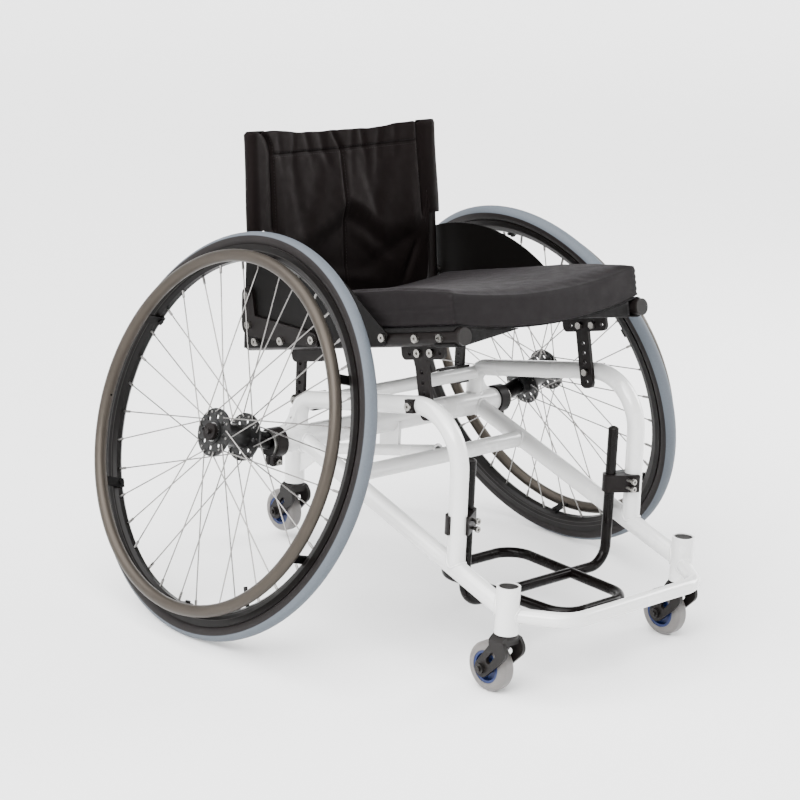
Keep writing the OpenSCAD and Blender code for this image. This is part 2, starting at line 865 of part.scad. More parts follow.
module lower_rail() {
    difference() {
        rail_bar(rail_d);
        rail_bar(rail_d - 2 * side_wall);
        axle_bar(axle_tube_d + 2 * weld_gap);
        barrel_bar(barrel_d + 2 * weld_gap);
    }
}

module lower_rail_left() color("white") place() lower_rail();

module lower_rail_right() color("white") place() at_side(-1) lower_rail();

module rear_cross_tube() {
    color("white") place() difference() {
        cross_bar([-rear_cross_ahead, rear_cross_z], cross_d);
        cross_bar([-rear_cross_ahead, rear_cross_z], cross_d - 2 * thin_wall);
        both_sides() side_bar(side_d + 2 * weld_gap);
    }
}

module mid_cross_tube() {
    color("white") place() difference() {
        cross_bar(mid_at, mid_d);
        cross_bar(mid_at, mid_d - 2 * thin_wall);
        both_sides() rail_bar(rail_d + 2 * weld_gap);
    }
}

module front_bumper() {
    path = [
        [-side_x, -barrel_ahead],
        [-bumper_half, -bumper_ahead],
        [bumper_half, -bumper_ahead],
        [side_x, -barrel_ahead]
    ];
    color("white") place() difference() {
        translate([0, 0, bumper_z]) pipe(path, [bumper_r, bumper_r], bumper_d, thin_wall);
        both_sides() barrel_bar(barrel_d + 2 * weld_gap);
    }
}

module caster_barrels() {
    color("white") place() for (i = [0:2]) at_caster(i) translate([0, 0, barrel_low]) difference() {
        cylinder(d = barrel_d, h = barrel_len);
        translate([0, 0, -over]) cylinder(d = barrel_bore_d, h = barrel_len + 2 * over);
    }
}

module rear_strut() {
    a = strut_path[0];
    b = strut_path[1];
    u = unit(b - a);
    under = line_meet(a, u, [0, axle_z], [0, axle_z]);
    ahead = line_meet(a, u, [rear_barrel_y - rear_gusset_len - barrel_d / 2, axle_z], [0, axle_z]);
    low = [rear_barrel_y, barrel_low + rear_lift + rear_gusset_rise];
    color("white") place() difference() {
        union() {
            rod([0, a.x, a.y], [0, b.x, b.y], strut_d);
            in_side(-gusset_t / 2) linear_extrude(gusset_t) polygon([
                under - u * gusset_half,
                under + u * gusset_half,
                [gusset_half, axle_z],
                [-gusset_half, axle_z]
            ]);
            in_side(-gusset_t / 2) linear_extrude(gusset_t) polygon([ahead, low, b]);
        }
        rod([0, a.x, a.y], [0, b.x, b.y], strut_d - 2 * thin_wall);
        axle_bar(axle_tube_d + 2 * weld_gap);
        cross_bar(mid_at, mid_d + 2 * weld_gap);
        rear_barrel_bar(barrel_d + 2 * weld_gap);
        translate([0, 0, rear_lift]) rear_barrel_bar(barrel_d + 2 * weld_gap);
    }
}

module axle_gussets() {
    inner = side_x + side_d / 2;
    top = axle_z + axle_tube_d / 2 + axle_gusset_r;
    centre = [inner + axle_gusset_r, top];
    color("white") place() both_sides() difference() {
        translate([0, rear_leg_y + axle_gusset_t / 2, 0]) rotate([90, 0, 0])
            linear_extrude(axle_gusset_t) difference() {
                translate([side_x, axle_z]) square([centre.x - side_x, top - axle_z]);
                translate(centre) circle(r = axle_gusset_r);
            }
        side_bar(side_d + 2 * weld_gap);
        axle_bar(axle_tube_d + 2 * weld_gap);
        for (t = [210, 240]) translate([centre.x, rear_leg_y, centre.y]) rotate([0, -t, 0])
            along_x()
                cylinder(d = axle_gusset_hole_d, h = axle_gusset_r + axle_gusset_hole_depth);
    }
}

// Axle parts

module camber_clamps() {
    x = axle_half - clamp_w;
    low = axle_tube_d / 2 + clamp_wall;
    color("black") place() both_sides() difference() {
        translate([x, 0, axle_z]) {
            along_x() cylinder(d = axle_tube_d + 2 * clamp_wall, h = clamp_w);
            translate([0, -clamp_lug_half, -low - clamp_lug_drop])
                cube([clamp_w, 2 * clamp_lug_half, low + clamp_lug_drop]);
        }
        axle_bar(axle_tube_d + 2 * fit_gap);
        translate([x - over, 0, axle_z]) along_x()
            cylinder(d = axle_tube_d + 2 * fit_gap, h = clamp_w + 2 * over);
        translate([x - over, -clamp_slit / 2, axle_z - low - clamp_lug_drop - over])
            cube([clamp_w + 2 * over, clamp_slit, low + clamp_lug_drop + over]);
        translate([x + clamp_w / 2, -clamp_lug_half - over, axle_z - low - clamp_lug_drop / 2])
            along_y() cylinder(d = screw_d + 2 * hole_gap, h = 2 * clamp_lug_half + 2 * over);
    }
}

module camber_plugs() {
    face = axle_half + seat_gap;
    nose_from = (face - wheel_x) / cos(camber);
    color("silver") place() both_sides() difference() {
        union() {
            translate([axle_half - plug_len, 0, axle_z]) along_x() cylinder(
                d = axle_tube_d - 2 * axle_wall - 2 * plug_gap,
                h = plug_len + seat_gap + plug_flange_t / 2
            );
            translate([face, 0, axle_z]) along_x() cylinder(d = axle_tube_d, h = plug_flange_t);
            difference() {
                at_wheel() translate([nose_from, 0, 0]) along_x()
                    cylinder(d = nose_d, h = -hub_in - nose_gap - nose_from);
                translate([plug_flange_t / 2, 0, 0]) axle_bar(axle_tube_d);
            }
        }
        at_wheel() translate([-pin_in - over, 0, 0]) along_x()
            cylinder(d = bearing_bore, h = pin_in);
    }
}

module axle_pins() {
    color("black") place() both_sides() at_wheel() difference() {
        union() {
            translate([-pin_in, 0, 0]) along_x()
                cylinder(d = pin_d, h = pin_in + hub_out + nose_gap + pin_head_t);
            translate([hub_out + nose_gap, 0, 0]) along_x()
                cylinder(d = pin_head_d, h = pin_head_t);
        }
        translate([button_low() - button_travel - over, 0, 0]) along_x()
            cylinder(d = button_d + 2 * slide_gap, h = button_len + button_travel + 2 * over);
    }
}

function button_low() = hub_out + nose_gap + pin_head_t + button_out - button_len;

module axle_button() {
    at_wheel() translate([button_low(), 0, 0]) along_x()
        cylinder(d = button_d, h = button_len);
}

module axle_button_left() color("dimgray") place() axle_button();

module axle_button_right() color("dimgray") place() at_side(-1) axle_button();

module hub_bearings() {
    color("gray") place() both_sides() at_wheel()
        for (x = [-hub_in, hub_out - hub_bearing_w]) translate([x, 0, 0]) along_x()
            difference() {
                cylinder(d = hub_bearing_d - 2 * fit_gap, h = hub_bearing_w);
                translate([0, 0, -over]) cylinder(d = bearing_bore, h = hub_bearing_w + 2 * over);
            }
}

// Rear wheels

module wheel_tyre() {
    spun() difference() {
        union() {
            translate([tyre_r, 0]) circle(d = tyre_d);
            translate([seat_r + hole_gap, -bead_half]) square([tyre_rise - hole_gap, 2 * bead_half]);
        }
        translate([tyre_r, 0]) circle(d = tyre_d - 2 * tyre_wall);
        translate([seat_r - over, -bead_half + bead_t]) square([tyre_rise + over, 2 * (bead_half - bead_t)]);
    }
}

module rim_half_plan(side) {
    polygon([
        [rim_in_r, 0],
        [rim_in_r, side * rim_nose_half],
        [seat_r - rim_shoulder_depth, side * rim_shoulder_half],
        [seat_r - rim_wide_depth, side * rim_half],
        [seat_r + rim_hook, side * rim_half],
        [seat_r + rim_hook, side * (bead_half + seat_gap)],
        [seat_r, side * (bead_half + seat_gap)],
        [seat_r, 0]
    ]);
}

module rim_cavity_plan() {
    polygon([
        [rim_in_r + rim_wall, -rim_nose_half + rim_wall / 2],
        [seat_r - rim_shoulder_depth + rim_wall / 2, -rim_shoulder_half + rim_wall],
        [seat_r - rim_wide_depth, -rim_half + rim_wall],
        [seat_r - rim_wall, -rim_half + rim_wall],
        [seat_r - rim_wall, rim_half - rim_wall],
        [seat_r - rim_wide_depth, rim_half - rim_wall],
        [seat_r - rim_shoulder_depth + rim_wall / 2, rim_shoulder_half - rim_wall],
        [rim_in_r + rim_wall, rim_nose_half - rim_wall / 2]
    ]);
}

module wheel_rim() {
    difference() {
        spun() difference() {
            union() {
                rim_half_plan(1);
                rim_half_plan(-1);
            }
            rim_cavity_plan();
        }
        for (i = [0:tab_count - 1]) rod(
            wheel_point(0, rim_in_r - over, tab_angle + i * 360 / tab_count),
            wheel_point(0, rim_in_r + rim_wall + over, tab_angle + i * 360 / tab_count),
            tab_screw_d + 2 * hole_gap
        );
    }
    rod(
        wheel_point(0, rim_in_r + rim_wall / 2, valve_angle),
        wheel_point(0, rim_in_r - valve_len, valve_angle),
        valve_d
    );
}

module wheel_handrim() {
    low = rim_in_r - tab_gap - tab_t;
    difference() {
        spun() translate([handrim_r, handrim_out]) circle(d = handrim_d);
        spun() translate([handrim_r, handrim_out]) circle(d = handrim_d - 2 * handrim_wall);
        rod(
            wheel_point(handrim_out, handrim_r - handrim_d, 0),
            wheel_point(handrim_out, handrim_r, 0),
            tab_screw_d
        );
    }
    for (i = [0:tab_count - 1]) rotate([tab_angle + i * 360 / tab_count - 90, 0, 0]) {
        translate([-tab_in, -tab_w / 2, low])
            cube([tab_in + handrim_out - handrim_d / 2 + handrim_wall, tab_w, tab_t]);
        translate([0, 0, low - tab_head_t])
            cylinder(d = tab_head_d, h = tab_head_t + tab_t / 2);
        translate([0, 0, low])
            cylinder(d = tab_screw_d, h = tab_t + tab_gap + tab_screw_in);
    }
}

function hub_angle(side, k) = spoke_phase + (k + (side > 0 ? 0 : 1 / 2)) * 360 / flange_spokes;

module spoke(side, k) {
    lead = k % 2 == 0 ? 1 : -1;
    t = hub_angle(side, k);
    off = flange_t / 2 + spoke_d / 2 + (lead > 0 ? spoke_lift : spoke_gap);
    far = flange_t / 2 + spoke_gap;
    h = wheel_point(side * (flange_at + lead * off), spoke_pcd / 2, t);
    e = wheel_point(side * rim_stagger, rim_in_r - nipple_gap, t + lead * spoke_sweep);
    f = wheel_point(side * (flange_at - lead * far), spoke_pcd / 2, t);
    n = wheel_point(side * (flange_at + lead * (off + spoke_d / 2)), spoke_pcd / 2, t);
    g = wheel_point(side * (flange_at - lead * (far + spoke_head_t)), spoke_pcd / 2, t);
    rod(h, e + unit(h - e) * nipple_len / 2, spoke_d);
    rod(e + unit(h - e) * nipple_len, e, nipple_d);
    rod(n, g, spoke_elbow_d);
    rod(f, g, spoke_head_d);
}

module wheel_spokes() {
    for (side = [-1, 1]) for (k = [0:flange_spokes - 1]) spoke(side, k);
}

module wheel_hub() {
    difference() {
        union() {
            translate([-hub_in, 0, 0]) along_x() cylinder(d = hub_d, h = hub_in + hub_out);
            for (x = [-flange_at, flange_at]) translate([x - flange_t / 2, 0, 0]) along_x()
                cylinder(d = flange_d, h = flange_t);
        }
        translate([-hub_in - over, 0, 0]) along_x()
            cylinder(d = hub_bore_d, h = hub_in + hub_out + 2 * over);
        translate([-hub_in - over, 0, 0]) along_x()
            cylinder(d = hub_bearing_d, h = hub_bearing_w + over);
        translate([hub_out - hub_bearing_w, 0, 0]) along_x()
            cylinder(d = hub_bearing_d, h = hub_bearing_w + over);
        for (side = [-1, 1]) {
            for (k = [0:flange_spokes - 1])
                translate(wheel_point(side * flange_at - flange_t, spoke_pcd / 2, hub_angle(side, k)))
                    along_x() cylinder(d = spoke_hole_d, h = 2 * flange_t);
            for (k = [0:flange_holes - 1])
                translate(wheel_point(side * flange_at - flange_t, flange_hole_pcd / 2, k * 360 / flange_holes))
                    along_x() cylinder(d = flange_hole_d, h = 2 * flange_t);
        }
    }
}

module tyre_left() color("dimgray") place() at_wheel() wheel_tyre();

module tyre_right() color("dimgray") place() at_side(-1) at_wheel() wheel_tyre();

module rim_left() color("black") place() at_wheel() wheel_rim();

module rim_right() color("black") place() at_side(-1) at_wheel() wheel_rim();

module spokes_left() color("silver") place() at_wheel() wheel_spokes();

module spokes_right() color("silver") place() at_side(-1) at_wheel() wheel_spokes();

module hub_left() color("black") place() at_wheel() wheel_hub();

module hub_right() color("black") place() at_side(-1) at_wheel() wheel_hub();

module handrim_left() color("tan") place() at_wheel() wheel_handrim();

module handrim_right() color("tan") place() at_side(-1) at_wheel() wheel_handrim();

// Casters

module at_caster(i) {
    if (i == 0)
    translate([side_x, -barrel_ahead, 0]) children();
    else if (i == 1)
    translate([-side_x, -barrel_ahead, 0]) children();
    else
    translate([0, rear_barrel_y, rear_lift]) children();
}

module swivel_bearings() {
    lower = barrel_low + barrel_recess;
    upper = barrel_top - upper_bearing_drop;
    color("gray") place() for (i = [0:2]) at_caster(i) for (z = [lower, upper])
        translate([0, 0, z]) difference() {
            cylinder(d = barrel_bore_d - 2 * fit_gap, h = swivel_bearing_w);
            translate([0, 0, -over])
                cylinder(d = stem_d + 2 * fit_gap, h = swivel_bearing_w + 2 * over);
        }
}

module barrel_caps() {
    color("black") place() for (i = [0:2]) at_caster(i)
        translate([0, 0, barrel_top - barrel_recess - cap_t])
            cylinder(d = barrel_bore_d - 2 * fit_gap, h = cap_t);
}

module fork_plan() {
    crown = [0, crown_z - fork_crown_r];
    bulge = [-fork_bulge_ahead, crown_z - fork_bulge_drop];
    boss = [trail, caster_z];
    difference() {
        union() {
            strap2d(crown, fork_crown_r, bulge, fork_bulge_r);
            strap2d(bulge, fork_bulge_r, boss, fork_boss_r);
        }
        strap2d(
            bulge + (boss - bulge) / 4 + [fork_slot_r / 4, 0],
            fork_slot_r,
            bulge + (boss - bulge) * 5 / 9,
            fork_slot_r
        );
    }
}

module caster_fork() {
    stem_top = barrel_top - upper_bearing_drop + swivel_bearing_w;
    difference() {
        union() {
            both_sides() in_side(fork_half) linear_extrude(fork_t) fork_plan();
            difference() {
                translate([-fork_out, -fork_crown_r, crown_z - fork_web])
                    cube([2 * fork_out, 2 * fork_crown_r, fork_web]);
                translate([-fork_out - over, trail, caster_z]) along_x()
                    cylinder(r = caster_d / 2 + fork_clear, h = 2 * fork_out + 2 * over);
            }
            translate([0, 0, crown_z - crown_t]) cylinder(d = crown_d, h = crown_t);
        }
        translate([-fork_out - over, trail, caster_z]) along_x()
            cylinder(d = caster_axle_d + 2 * fit_gap, h = 2 * fork_out + 2 * over);
        difference() {
            translate([-crown_d, -crown_d, crown_z - fork_shoulder])
                cube([2 * crown_d, 2 * crown_d, 2 * fork_shoulder]);
            translate([0, -2 * crown_d, crown_z + over - fork_shoulder_r]) along_y()
                cylinder(r = fork_shoulder_r, h = 4 * crown_d);
        }
    }
    translate([0, 0, crown_z - crown_t])
        cylinder(d = stem_d, h = stem_top - crown_z + crown_t + stem_nut_t);
    translate([0, 0, stem_top + seat_gap]) linear_extrude(stem_nut_t) hex2d(stem_nut_af);
}

module at_caster_wheel(i) at_caster(i) translate([0, trail, caster_z]) children();

module caster_tyre() {
    r = caster_d / 2;
    spun() difference() {
        union() {
            translate([core_d / 2, -caster_w / 2 + caster_edge_r])
                square([r - core_d / 2, caster_w - 2 * caster_edge_r]);
            translate([core_d / 2, -caster_w / 2]) square([r - core_d / 2 - caster_edge_r, caster_w]);
            for (y = [-1, 1]) translate([r - caster_edge_r, y * (caster_w / 2 - caster_edge_r)])
                circle(r = caster_edge_r);
        }
        square([core_d, 2 * caster_w], center = true);
    }
}

module caster_core() {
    spun() difference() {
        union() {
            translate([core_d / 2 - core_rim_t, -core_rim_half])
                square([core_rim_t - fit_gap, 2 * core_rim_half]);
            translate([0, -core_web_half]) square([core_d / 2 - core_rim_t / 2, 2 * core_web_half]);
            translate([0, -fork_half + core_gap]) square([core_hub_d / 2, 2 * (fork_half - core_gap)]);
        }
        translate([0, -fork_half]) square([caster_axle_d / 2 + fit_gap, 2 * fork_half]);
    }
}

module caster_axle() {
    half = fork_out + seat_gap + caster_head_t + caster_stub;
    translate([-half, 0, 0]) along_x() cylinder(d = caster_axle_d, h = 2 * half);
    both_sides() translate([fork_out + seat_gap, 0, 0]) along_x()
        cylinder(d = caster_head_d, h = caster_head_t);
}

module fork_left() color("black") place() at_caster(0) caster_fork();

module fork_right() color("black") place() at_caster(1) caster_fork();

module fork_rear() color("black") place() at_caster(2) caster_fork();

module caster_tyre_left() color("lightgray") place() at_caster_wheel(0) caster_tyre();

module caster_tyre_right() color("lightgray") place() at_caster_wheel(1) caster_tyre();

module caster_tyre_rear() color("lightgray") place() at_caster_wheel(2) caster_tyre();

module caster_core_left() color("royalblue") place() at_caster_wheel(0) caster_core();

module caster_core_right() color("royalblue") place() at_caster_wheel(1) caster_core();

module caster_core_rear() color("royalblue") place() at_caster_wheel(2) caster_core();

module caster_axle_left() color("silver") place() at_caster_wheel(0) caster_axle();

module caster_axle_right() color("silver") place() at_caster_wheel(1) caster_axle();

module caster_axle_rear() color("silver") place() at_caster_wheel(2) caster_axle();

// Seat

front_rail_bolts = [front_flange_far - flange_r, (front_flange_near + front_flange_far) / 2];
rear_rail_bolts = [rear_flange_near - flange_r, -rear_flange_far + flange_r];

module seat_rail() {
    difference() {
        on_seat() difference() {
            translate([rail_x, -rail_front, 0]) along_y()
                cylinder(d = seat_rail_d, h = rail_front + rail_back);
            translate([rail_x, -rail_front - over, 0]) along_y()
                cylinder(d = seat_rail_d - 2 * seat_rail_wall, h = rail_front + rail_back + 2 * over);
        }
        for (y = concat(front_rail_bolts, rear_rail_bolts))
            side_hole(post_x, seat_point([-y, 0]), rail_x - post_x);
        for (y = concat(plate_bolts, [-guard_bolt_at]))
            side_hole(rail_x, seat_point([y, plate_bolt_rise]), seat_rail_d);
        for (y = face_bolts) side_hole(rail_x, seat_point([-y, 0]), seat_rail_d);
    }
}

module seat_rail_left() color("black") place() seat_rail();

module seat_rail_right() color("black") place() at_side(-1) seat_rail();

module rail_plug() {
    translate([0, 0, seat_gap]) cylinder(d = seat_rail_d, h = plug_head_t);
    translate([0, 0, -plug_depth])
        cylinder(d = seat_rail_d - 2 * seat_rail_wall - 2 * fit_gap, h = plug_depth + seat_gap + plug_head_t / 2);
}

module end_plugs() {
    color("dimgray") place() both_sides() on_seat() {
        translate([rail_x, -rail_front, 0]) rotate([90, 0, 0]) rail_plug();
        translate([rail_x, rail_back, 0]) rotate([-90, 0, 0]) rail_plug();
    }
}

module front_posts() {
    leg = seat_point([-front_leg_at, 0]);
    drop = norm(leg - front_bolt);
    color("black") place() both_sides() difference() {
        in_side(post_x) linear_extrude(post_t) seat_plan() difference() {
            union() {
                plate2d(
                    [-front_flange_far, -flange_drop],
                    [-front_flange_near, flange_top],
                    flange_r
                );
                plate2d(
                    [-front_leg_at - front_leg_w / 2, -drop - front_leg_tail],
                    [-front_leg_at + front_leg_w / 2, 0],
                    flange_r
                );
            }
            for (i = [-1:3]) translate([-front_leg_at, -drop + i * leg_pitch])
                circle(d = leg_hole_d);
            for (y = concat(row_bolts, row_holes))
                translate([-y, -flange_row]) circle(d = leg_hole_d);
        }
        for (y = front_rail_bolts)
            side_hole(post_x - over, seat_point([-y, 0]), post_t + 2 * over);
    }
}

module rear_posts() {
    top = seat_point([rear_leg_at, 0]).y;
    color("black") place() both_sides() difference() {
        in_side(post_x) linear_extrude(post_t) difference() {
            union() {
                seat_plan() plate2d(
                    [-rear_flange_near, -flange_drop],
                    [rear_flange_far, flange_top],
                    flange_r
                );
                plate2d(
                    [rear_leg_at - rear_leg_w / 2, rear_leg_z - rear_leg_tail],
                    [rear_leg_at + rear_leg_w / 2, top],
                    flange_r
                );
            }
            for (i = [0:4])
                translate([rear_leg_at, rear_leg_z + i * leg_pitch]) circle(d = leg_hole_d);
        }
        for (y = rear_rail_bolts)
            side_hole(post_x - over, seat_point([-y, 0]), post_t + 2 * over);
    }
}

module post_clamps() {
    cross = [-rear_cross_ahead, rear_cross_z];
    u = unit(side_path[2] - side_path[1]);
    color("dimgray") place() both_sides() {
        difference() {
            in_side(post_x - seat_gap - post_clamp_len) linear_extrude(post_clamp_len)
                difference() {
                    strap2d(cross, post_clamp_r, post_lug, post_lug_r);
                    translate(cross) circle(d = cross_d + 2 * weld_gap);
                    translate(cross - post_clamp_r * [2, 1]) square(2 * post_clamp_r);
                }
            for (p = [rear_leg, post_lug]) side_hole(0, p, side_x);
        }
        difference() {
            translate([side_x, front_bolt.x, front_bolt.y]) rotate([atan2(u.y, u.x), 0, 0])
                along_y() difference() {
                    translate([0, -saddle_h / 2, -saddle_len / 2])
                        cube([side_d / 2 + saddle_wall, saddle_h, saddle_len]);
                    translate([0, 0, -saddle_len])
                        cylinder(d = side_d + 2 * saddle_gap, h = 2 * saddle_len);
                }
            side_hole(0, front_bolt, 2 * side_x);
        }
    }
}

module clamp_bolts() {
    low = axle_tube_d / 2 + clamp_wall + clamp_lug_drop / 2;
    saddle_x = side_x + side_d / 2 + saddle_wall;
    foot_grip = foot_clamp_big + foot_clamp_small;
    color("silver") place() both_sides() {
        translate([axle_half - clamp_w / 2, -clamp_lug_half, axle_z - low])
            rotate([90, 0, 0]) {
                bolt(screw_d, screw_head_d, screw_head_t, 2 * clamp_lug_half + nut_t);
                nut_at(2 * clamp_lug_half);
            }
        side_bolt(saddle_x, front_bolt, 1, saddle_x - post_x + nut_t);
        side_nut(saddle_x, front_bolt, 1, saddle_x - post_x);
        side_bolt(post_x + post_t, rear_leg, 1, post_t + post_clamp_len + nut_t);
        side_nut(post_x + post_t, rear_leg, 1, post_t + post_clamp_len + seat_gap);
        side_bolt(post_x - seat_gap, post_lug, 1, post_clamp_len + nut_t);
        side_nut(post_x - seat_gap, post_lug, 1, post_clamp_len);
        for (z = [foot_bolt_in, foot_clamp_h - foot_bolt_in])
            translate([foot_bolt_x, foot_clamp_y - foot_clamp_big, foot_clamp_z + z])
                rotate([90, 0, 0]) bolt(screw_d, screw_head_d, screw_head_t, foot_grip);
    }
}

module seat_bolts() {
    plate_face = plate_x + plate_t;
    high = back_point(plate_bolt_high);
    low = back_point(-plate_bolt_low);
    color("silver") place() both_sides() {
        for (y = concat(front_rail_bolts, rear_rail_bolts))
            side_bolt(post_x, seat_point([-y, 0]), -1, post_t + seat_rail_d / 2);
        for (y = face_bolts)
            side_bolt(rail_x + seat_rail_d / 2, seat_point([-y, 0]), 1, seat_rail_d / 2);
        for (y = row_bolts) {
            side_bolt(post_x + post_t, seat_point([-y, -flange_row]), 1, post_t + nut_t);
            side_nut(post_x + post_t, seat_point([-y, -flange_row]), 1, post_t);
        }
        for (y = plate_bolts)
            side_bolt(plate_face, seat_point([y, plate_bolt_rise]), 1, plate_face - rail_x);
        side_bolt(
            guard_x + guard_t,
            seat_point([-guard_bolt_at, plate_bolt_rise]),
            1,
            guard_x + guard_t - rail_x
        );
        for (p = [high, low]) {
            side_bolt(plate_face, p, 1, plate_face - back_x);
            difference() {
                translate([back_x + back_d / 2 + seat_gap, p.x, p.y]) along_x()
                    cylinder(d = bolt_head_d, h = guard_x - back_x - back_d / 2 - 2 * seat_gap);
                side_hole(0, p, guard_x + over);
            }
        }
    }
}

// Sheet hung between two round bars, seen along them
module hung2d(half, bar_r, t, arc_r, arc_z, theta, wrap) {
    intersection() {
        difference() {
            translate([0, arc_z]) circle(r = arc_r + t, $fn = 180);
            translate([0, arc_z]) circle(r = arc_r, $fn = 180);
        }
        polygon([[0, arc_z], arc_side(arc_r, arc_z, theta), arc_side(arc_r, arc_z, -theta)]);
    }
    for (s = [-1, 1]) translate([s * half, 0]) intersection() {
        difference() {
            circle(r = bar_r);
            circle(r = bar_r - t);
        }
        polygon([
            [0, 0],
            2 * bar_r * [s * cos(wrap), sin(wrap)],
            2 * bar_r * [s * cos(wrap), 1],
            2 * bar_r * [-s * sin(theta), 1],
            2 * bar_r * [-s * sin(theta), cos(theta)]
        ]);
    }
}

function arc_side(r, z, t) = [2 * r * sin(t), z - 2 * r * cos(t)];

module seat_sling() {
    color("black") place() on_seat() translate([0, rail_back - sling_inset, 0])
        rotate([90, 0, 0]) linear_extrude(rail_front + rail_back - 2 * sling_inset) hung2d(
            rail_x, sling_rail_r, sling_t, sling_arc_r, sling_arc_z, sling_theta, sling_wrap
        );
}

// Cushion: rings of points from under its middle, round the edge, to the top
cushion_in_shares = [0.35, 0.75, 0.97, 1, 1, 1, 0.985, 0.9, 0.68, 0.35];
cushion_up_shares = [0, 0, 0, 0.06, 0.5, 0.93, 1, 1, 1, 1];
cushion_tuck_shares = [0, 0, 0, 0, 1, 0, 0, 0, 0, 0];
cushion_crown_shares = [0, 0, 0, 0, 0, 0, 0.05, 0.25, 0.7, 0.95];
cushion_mid = (cushion_back - cushion_front) / 2;
cushion_long = (cushion_back + cushion_front) / 2;
cushion_plan = concat(
    arc_points([cushion_half - cushion_r, cushion_long - cushion_r], cushion_r, 0, 4),
    edge_points([cushion_half - cushion_r, cushion_long], [-cushion_half + cushion_r, cushion_long], 8),
    arc_points([-cushion_half + cushion_r, cushion_long - cushion_r], cushion_r, 90, 4),
    edge_points([-cushion_half, cushion_long - cushion_r], [-cushion_half, -cushion_long + cushion_r], 8),
    arc_points([-cushion_half + cushion_r, -cushion_long + cushion_r], cushion_r, 180, 4),
    edge_points([-cushion_half + cushion_r, -cushion_long], [cushion_half - cushion_r, -cushion_long], 8),
    arc_points([cushion_half - cushion_r, -cushion_long + cushion_r], cushion_r, 270, 4),
    edge_points([cushion_half, -cushion_long + cushion_r], [cushion_half, cushion_long - cushion_r], 8)
);

function cushion_low(x) = sling_arc_z - sqrt(pow(sling_arc_r, 2) - x * x) + soft_gap;
function cushion_thick(y) =
let (s = max(0, min(1, (y + cushion_long) / cushion_taper)))
cushion_front_t + (cushion_t - cushion_front_t) * s * (2 - s);
function cushion_point(p, k) =
let (
    x = p.x * cushion_in_shares[k] - sign(p.x) * cushion_tuck * cushion_tuck_shares[k],
    y = p.y * cushion_in_shares[k],
    bow = y < 0 ? cushion_bow * (1 - pow(x / cushion_half, 2)) * y / cushion_long : 0
)
[
    x,
    cushion_mid + y + bow,
    cushion_low(x) + cushion_thick(y) * cushion_up_shares[k] + cushion_crown * cushion_crown_shares[k]
];

module seat_cushion() {
    n = len(cushion_plan);
    m = len(cushion_in_shares);
    rings = [for (k = [0:m - 1]) for (p = cushion_plan) cushion_point(p, k)];
    under = [0, cushion_mid, cushion_low(0)];
    over_top = [0, cushion_mid, cushion_low(0) + cushion_thick(0) + cushion_crown];
    sides = [
        for (k = [0:m - 2]) for (i = [0:n - 1]) for (f = [0, 1]) f == 0
        ? [k * n + i, (k + 1) * n + i, k * n + (i + 1) % n]
        : [k * n + (i + 1) % n, (k + 1) * n + i, (k + 1) * n + (i + 1) % n]
    ];
    bottom = [for (i = [0:n - 1]) [m * n, i, (i + 1) % n]];
    top = [for (i = [0:n - 1]) [m * n + 1, (m - 1) * n + (i + 1) % n, (m - 1) * n + i]];
    color("dimgray") place() on_seat()
        polyhedron(points = concat(rings, [under, over_top]), faces = concat(sides, bottom, top));
}

// Back

module back_post_bar(d, low, high) {
    on_back() translate([back_x, 0, low]) cylinder(d = d, h = high - low);
}

module back_posts() {
    color("black") place() both_sides() difference() {
        back_post_bar(back_d, -post_below, post_above);
        back_post_bar(back_d - 2 * back_wall, -post_below - over, post_above + over);
        for (b = [plate_bolt_high, -plate_bolt_low])
            side_hole(back_x, back_point(b), back_d);
    }
}

module back_sheet2d() {
    mirror([0, 1])
        hung2d(back_x, sleeve_r, back_t, back_arc_r, back_arc_z, back_theta, 0);
}

module back_upholstery() {
    color("black") place() on_back() {
        translate([0, 0, sleeve_low])
            linear_extrude(post_above + soft_gap + sleeve_end - sleeve_low) {
                back_sheet2d();
                for (s = [-1, 1]) translate([s * back_x, 0]) difference() {
                    circle(r = sleeve_r);
                    circle(r = sleeve_r - back_t);
                }
            }
        translate([0, 0, post_above + soft_gap]) linear_extrude(sleeve_end)
            for (s = [-1, 1]) translate([s * back_x, 0]) circle(r = sleeve_r);
        translate([0, 0, panel_low]) linear_extrude(sleeve_low - panel_low + back_t)
            intersection() {
                back_sheet2d();
                square(2 * (back_x - panel_in), center = true);
            }
    }
}

module side_guard() {
    difference() {
        in_side(guard_x) linear_extrude(guard_t) polygon(guard_plan);
        for (y = concat(plate_bolts, [-guard_bolt_at]))
            side_hole(rail_x, seat_point([y, plate_bolt_rise]), 2 * seat_rail_d);
        for (b = [plate_bolt_high, -plate_bolt_low])
            side_hole(rail_x, back_point(b), 2 * seat_rail_d);
    }
}

module side_guard_left() color("black") place() side_guard();

module side_guard_right() color("black") place() at_side(-1) side_guard();

module back_plates() {
    high = back_point(plate_bolt_high);
    corner = back_point(-plate_bolt_low);
    front = seat_point([plate_bolts[2], plate_bolt_rise]);
    color("black") place() both_sides() difference() {
        in_side(plate_x) linear_extrude(plate_t) {
            translate(high) circle(r = plate_top_r);
            strap2d(corner, plate_corner_r, front, plate_front_r);
            tangents2d(high, plate_top_r, corner, plate_corner_r);
        }
        for (y = plate_bolts)
            side_hole(rail_x, seat_point([y, plate_bolt_rise]), 2 * seat_rail_d);
        for (p = [high, corner]) side_hole(rail_x, p, 2 * seat_rail_d);
    }
}

// Footrest

module footrest_posts() {
    path = [[-foot_x, foot_top], [-foot_x, foot_z], [foot_x, foot_z], [foot_x, foot_top]];
    color("black") place() translate([0, -foot_ahead, 0]) rotate([90, 0, 0])
        pipe(path, [foot_bend_r, foot_bend_r], foot_d, foot_wall);
}

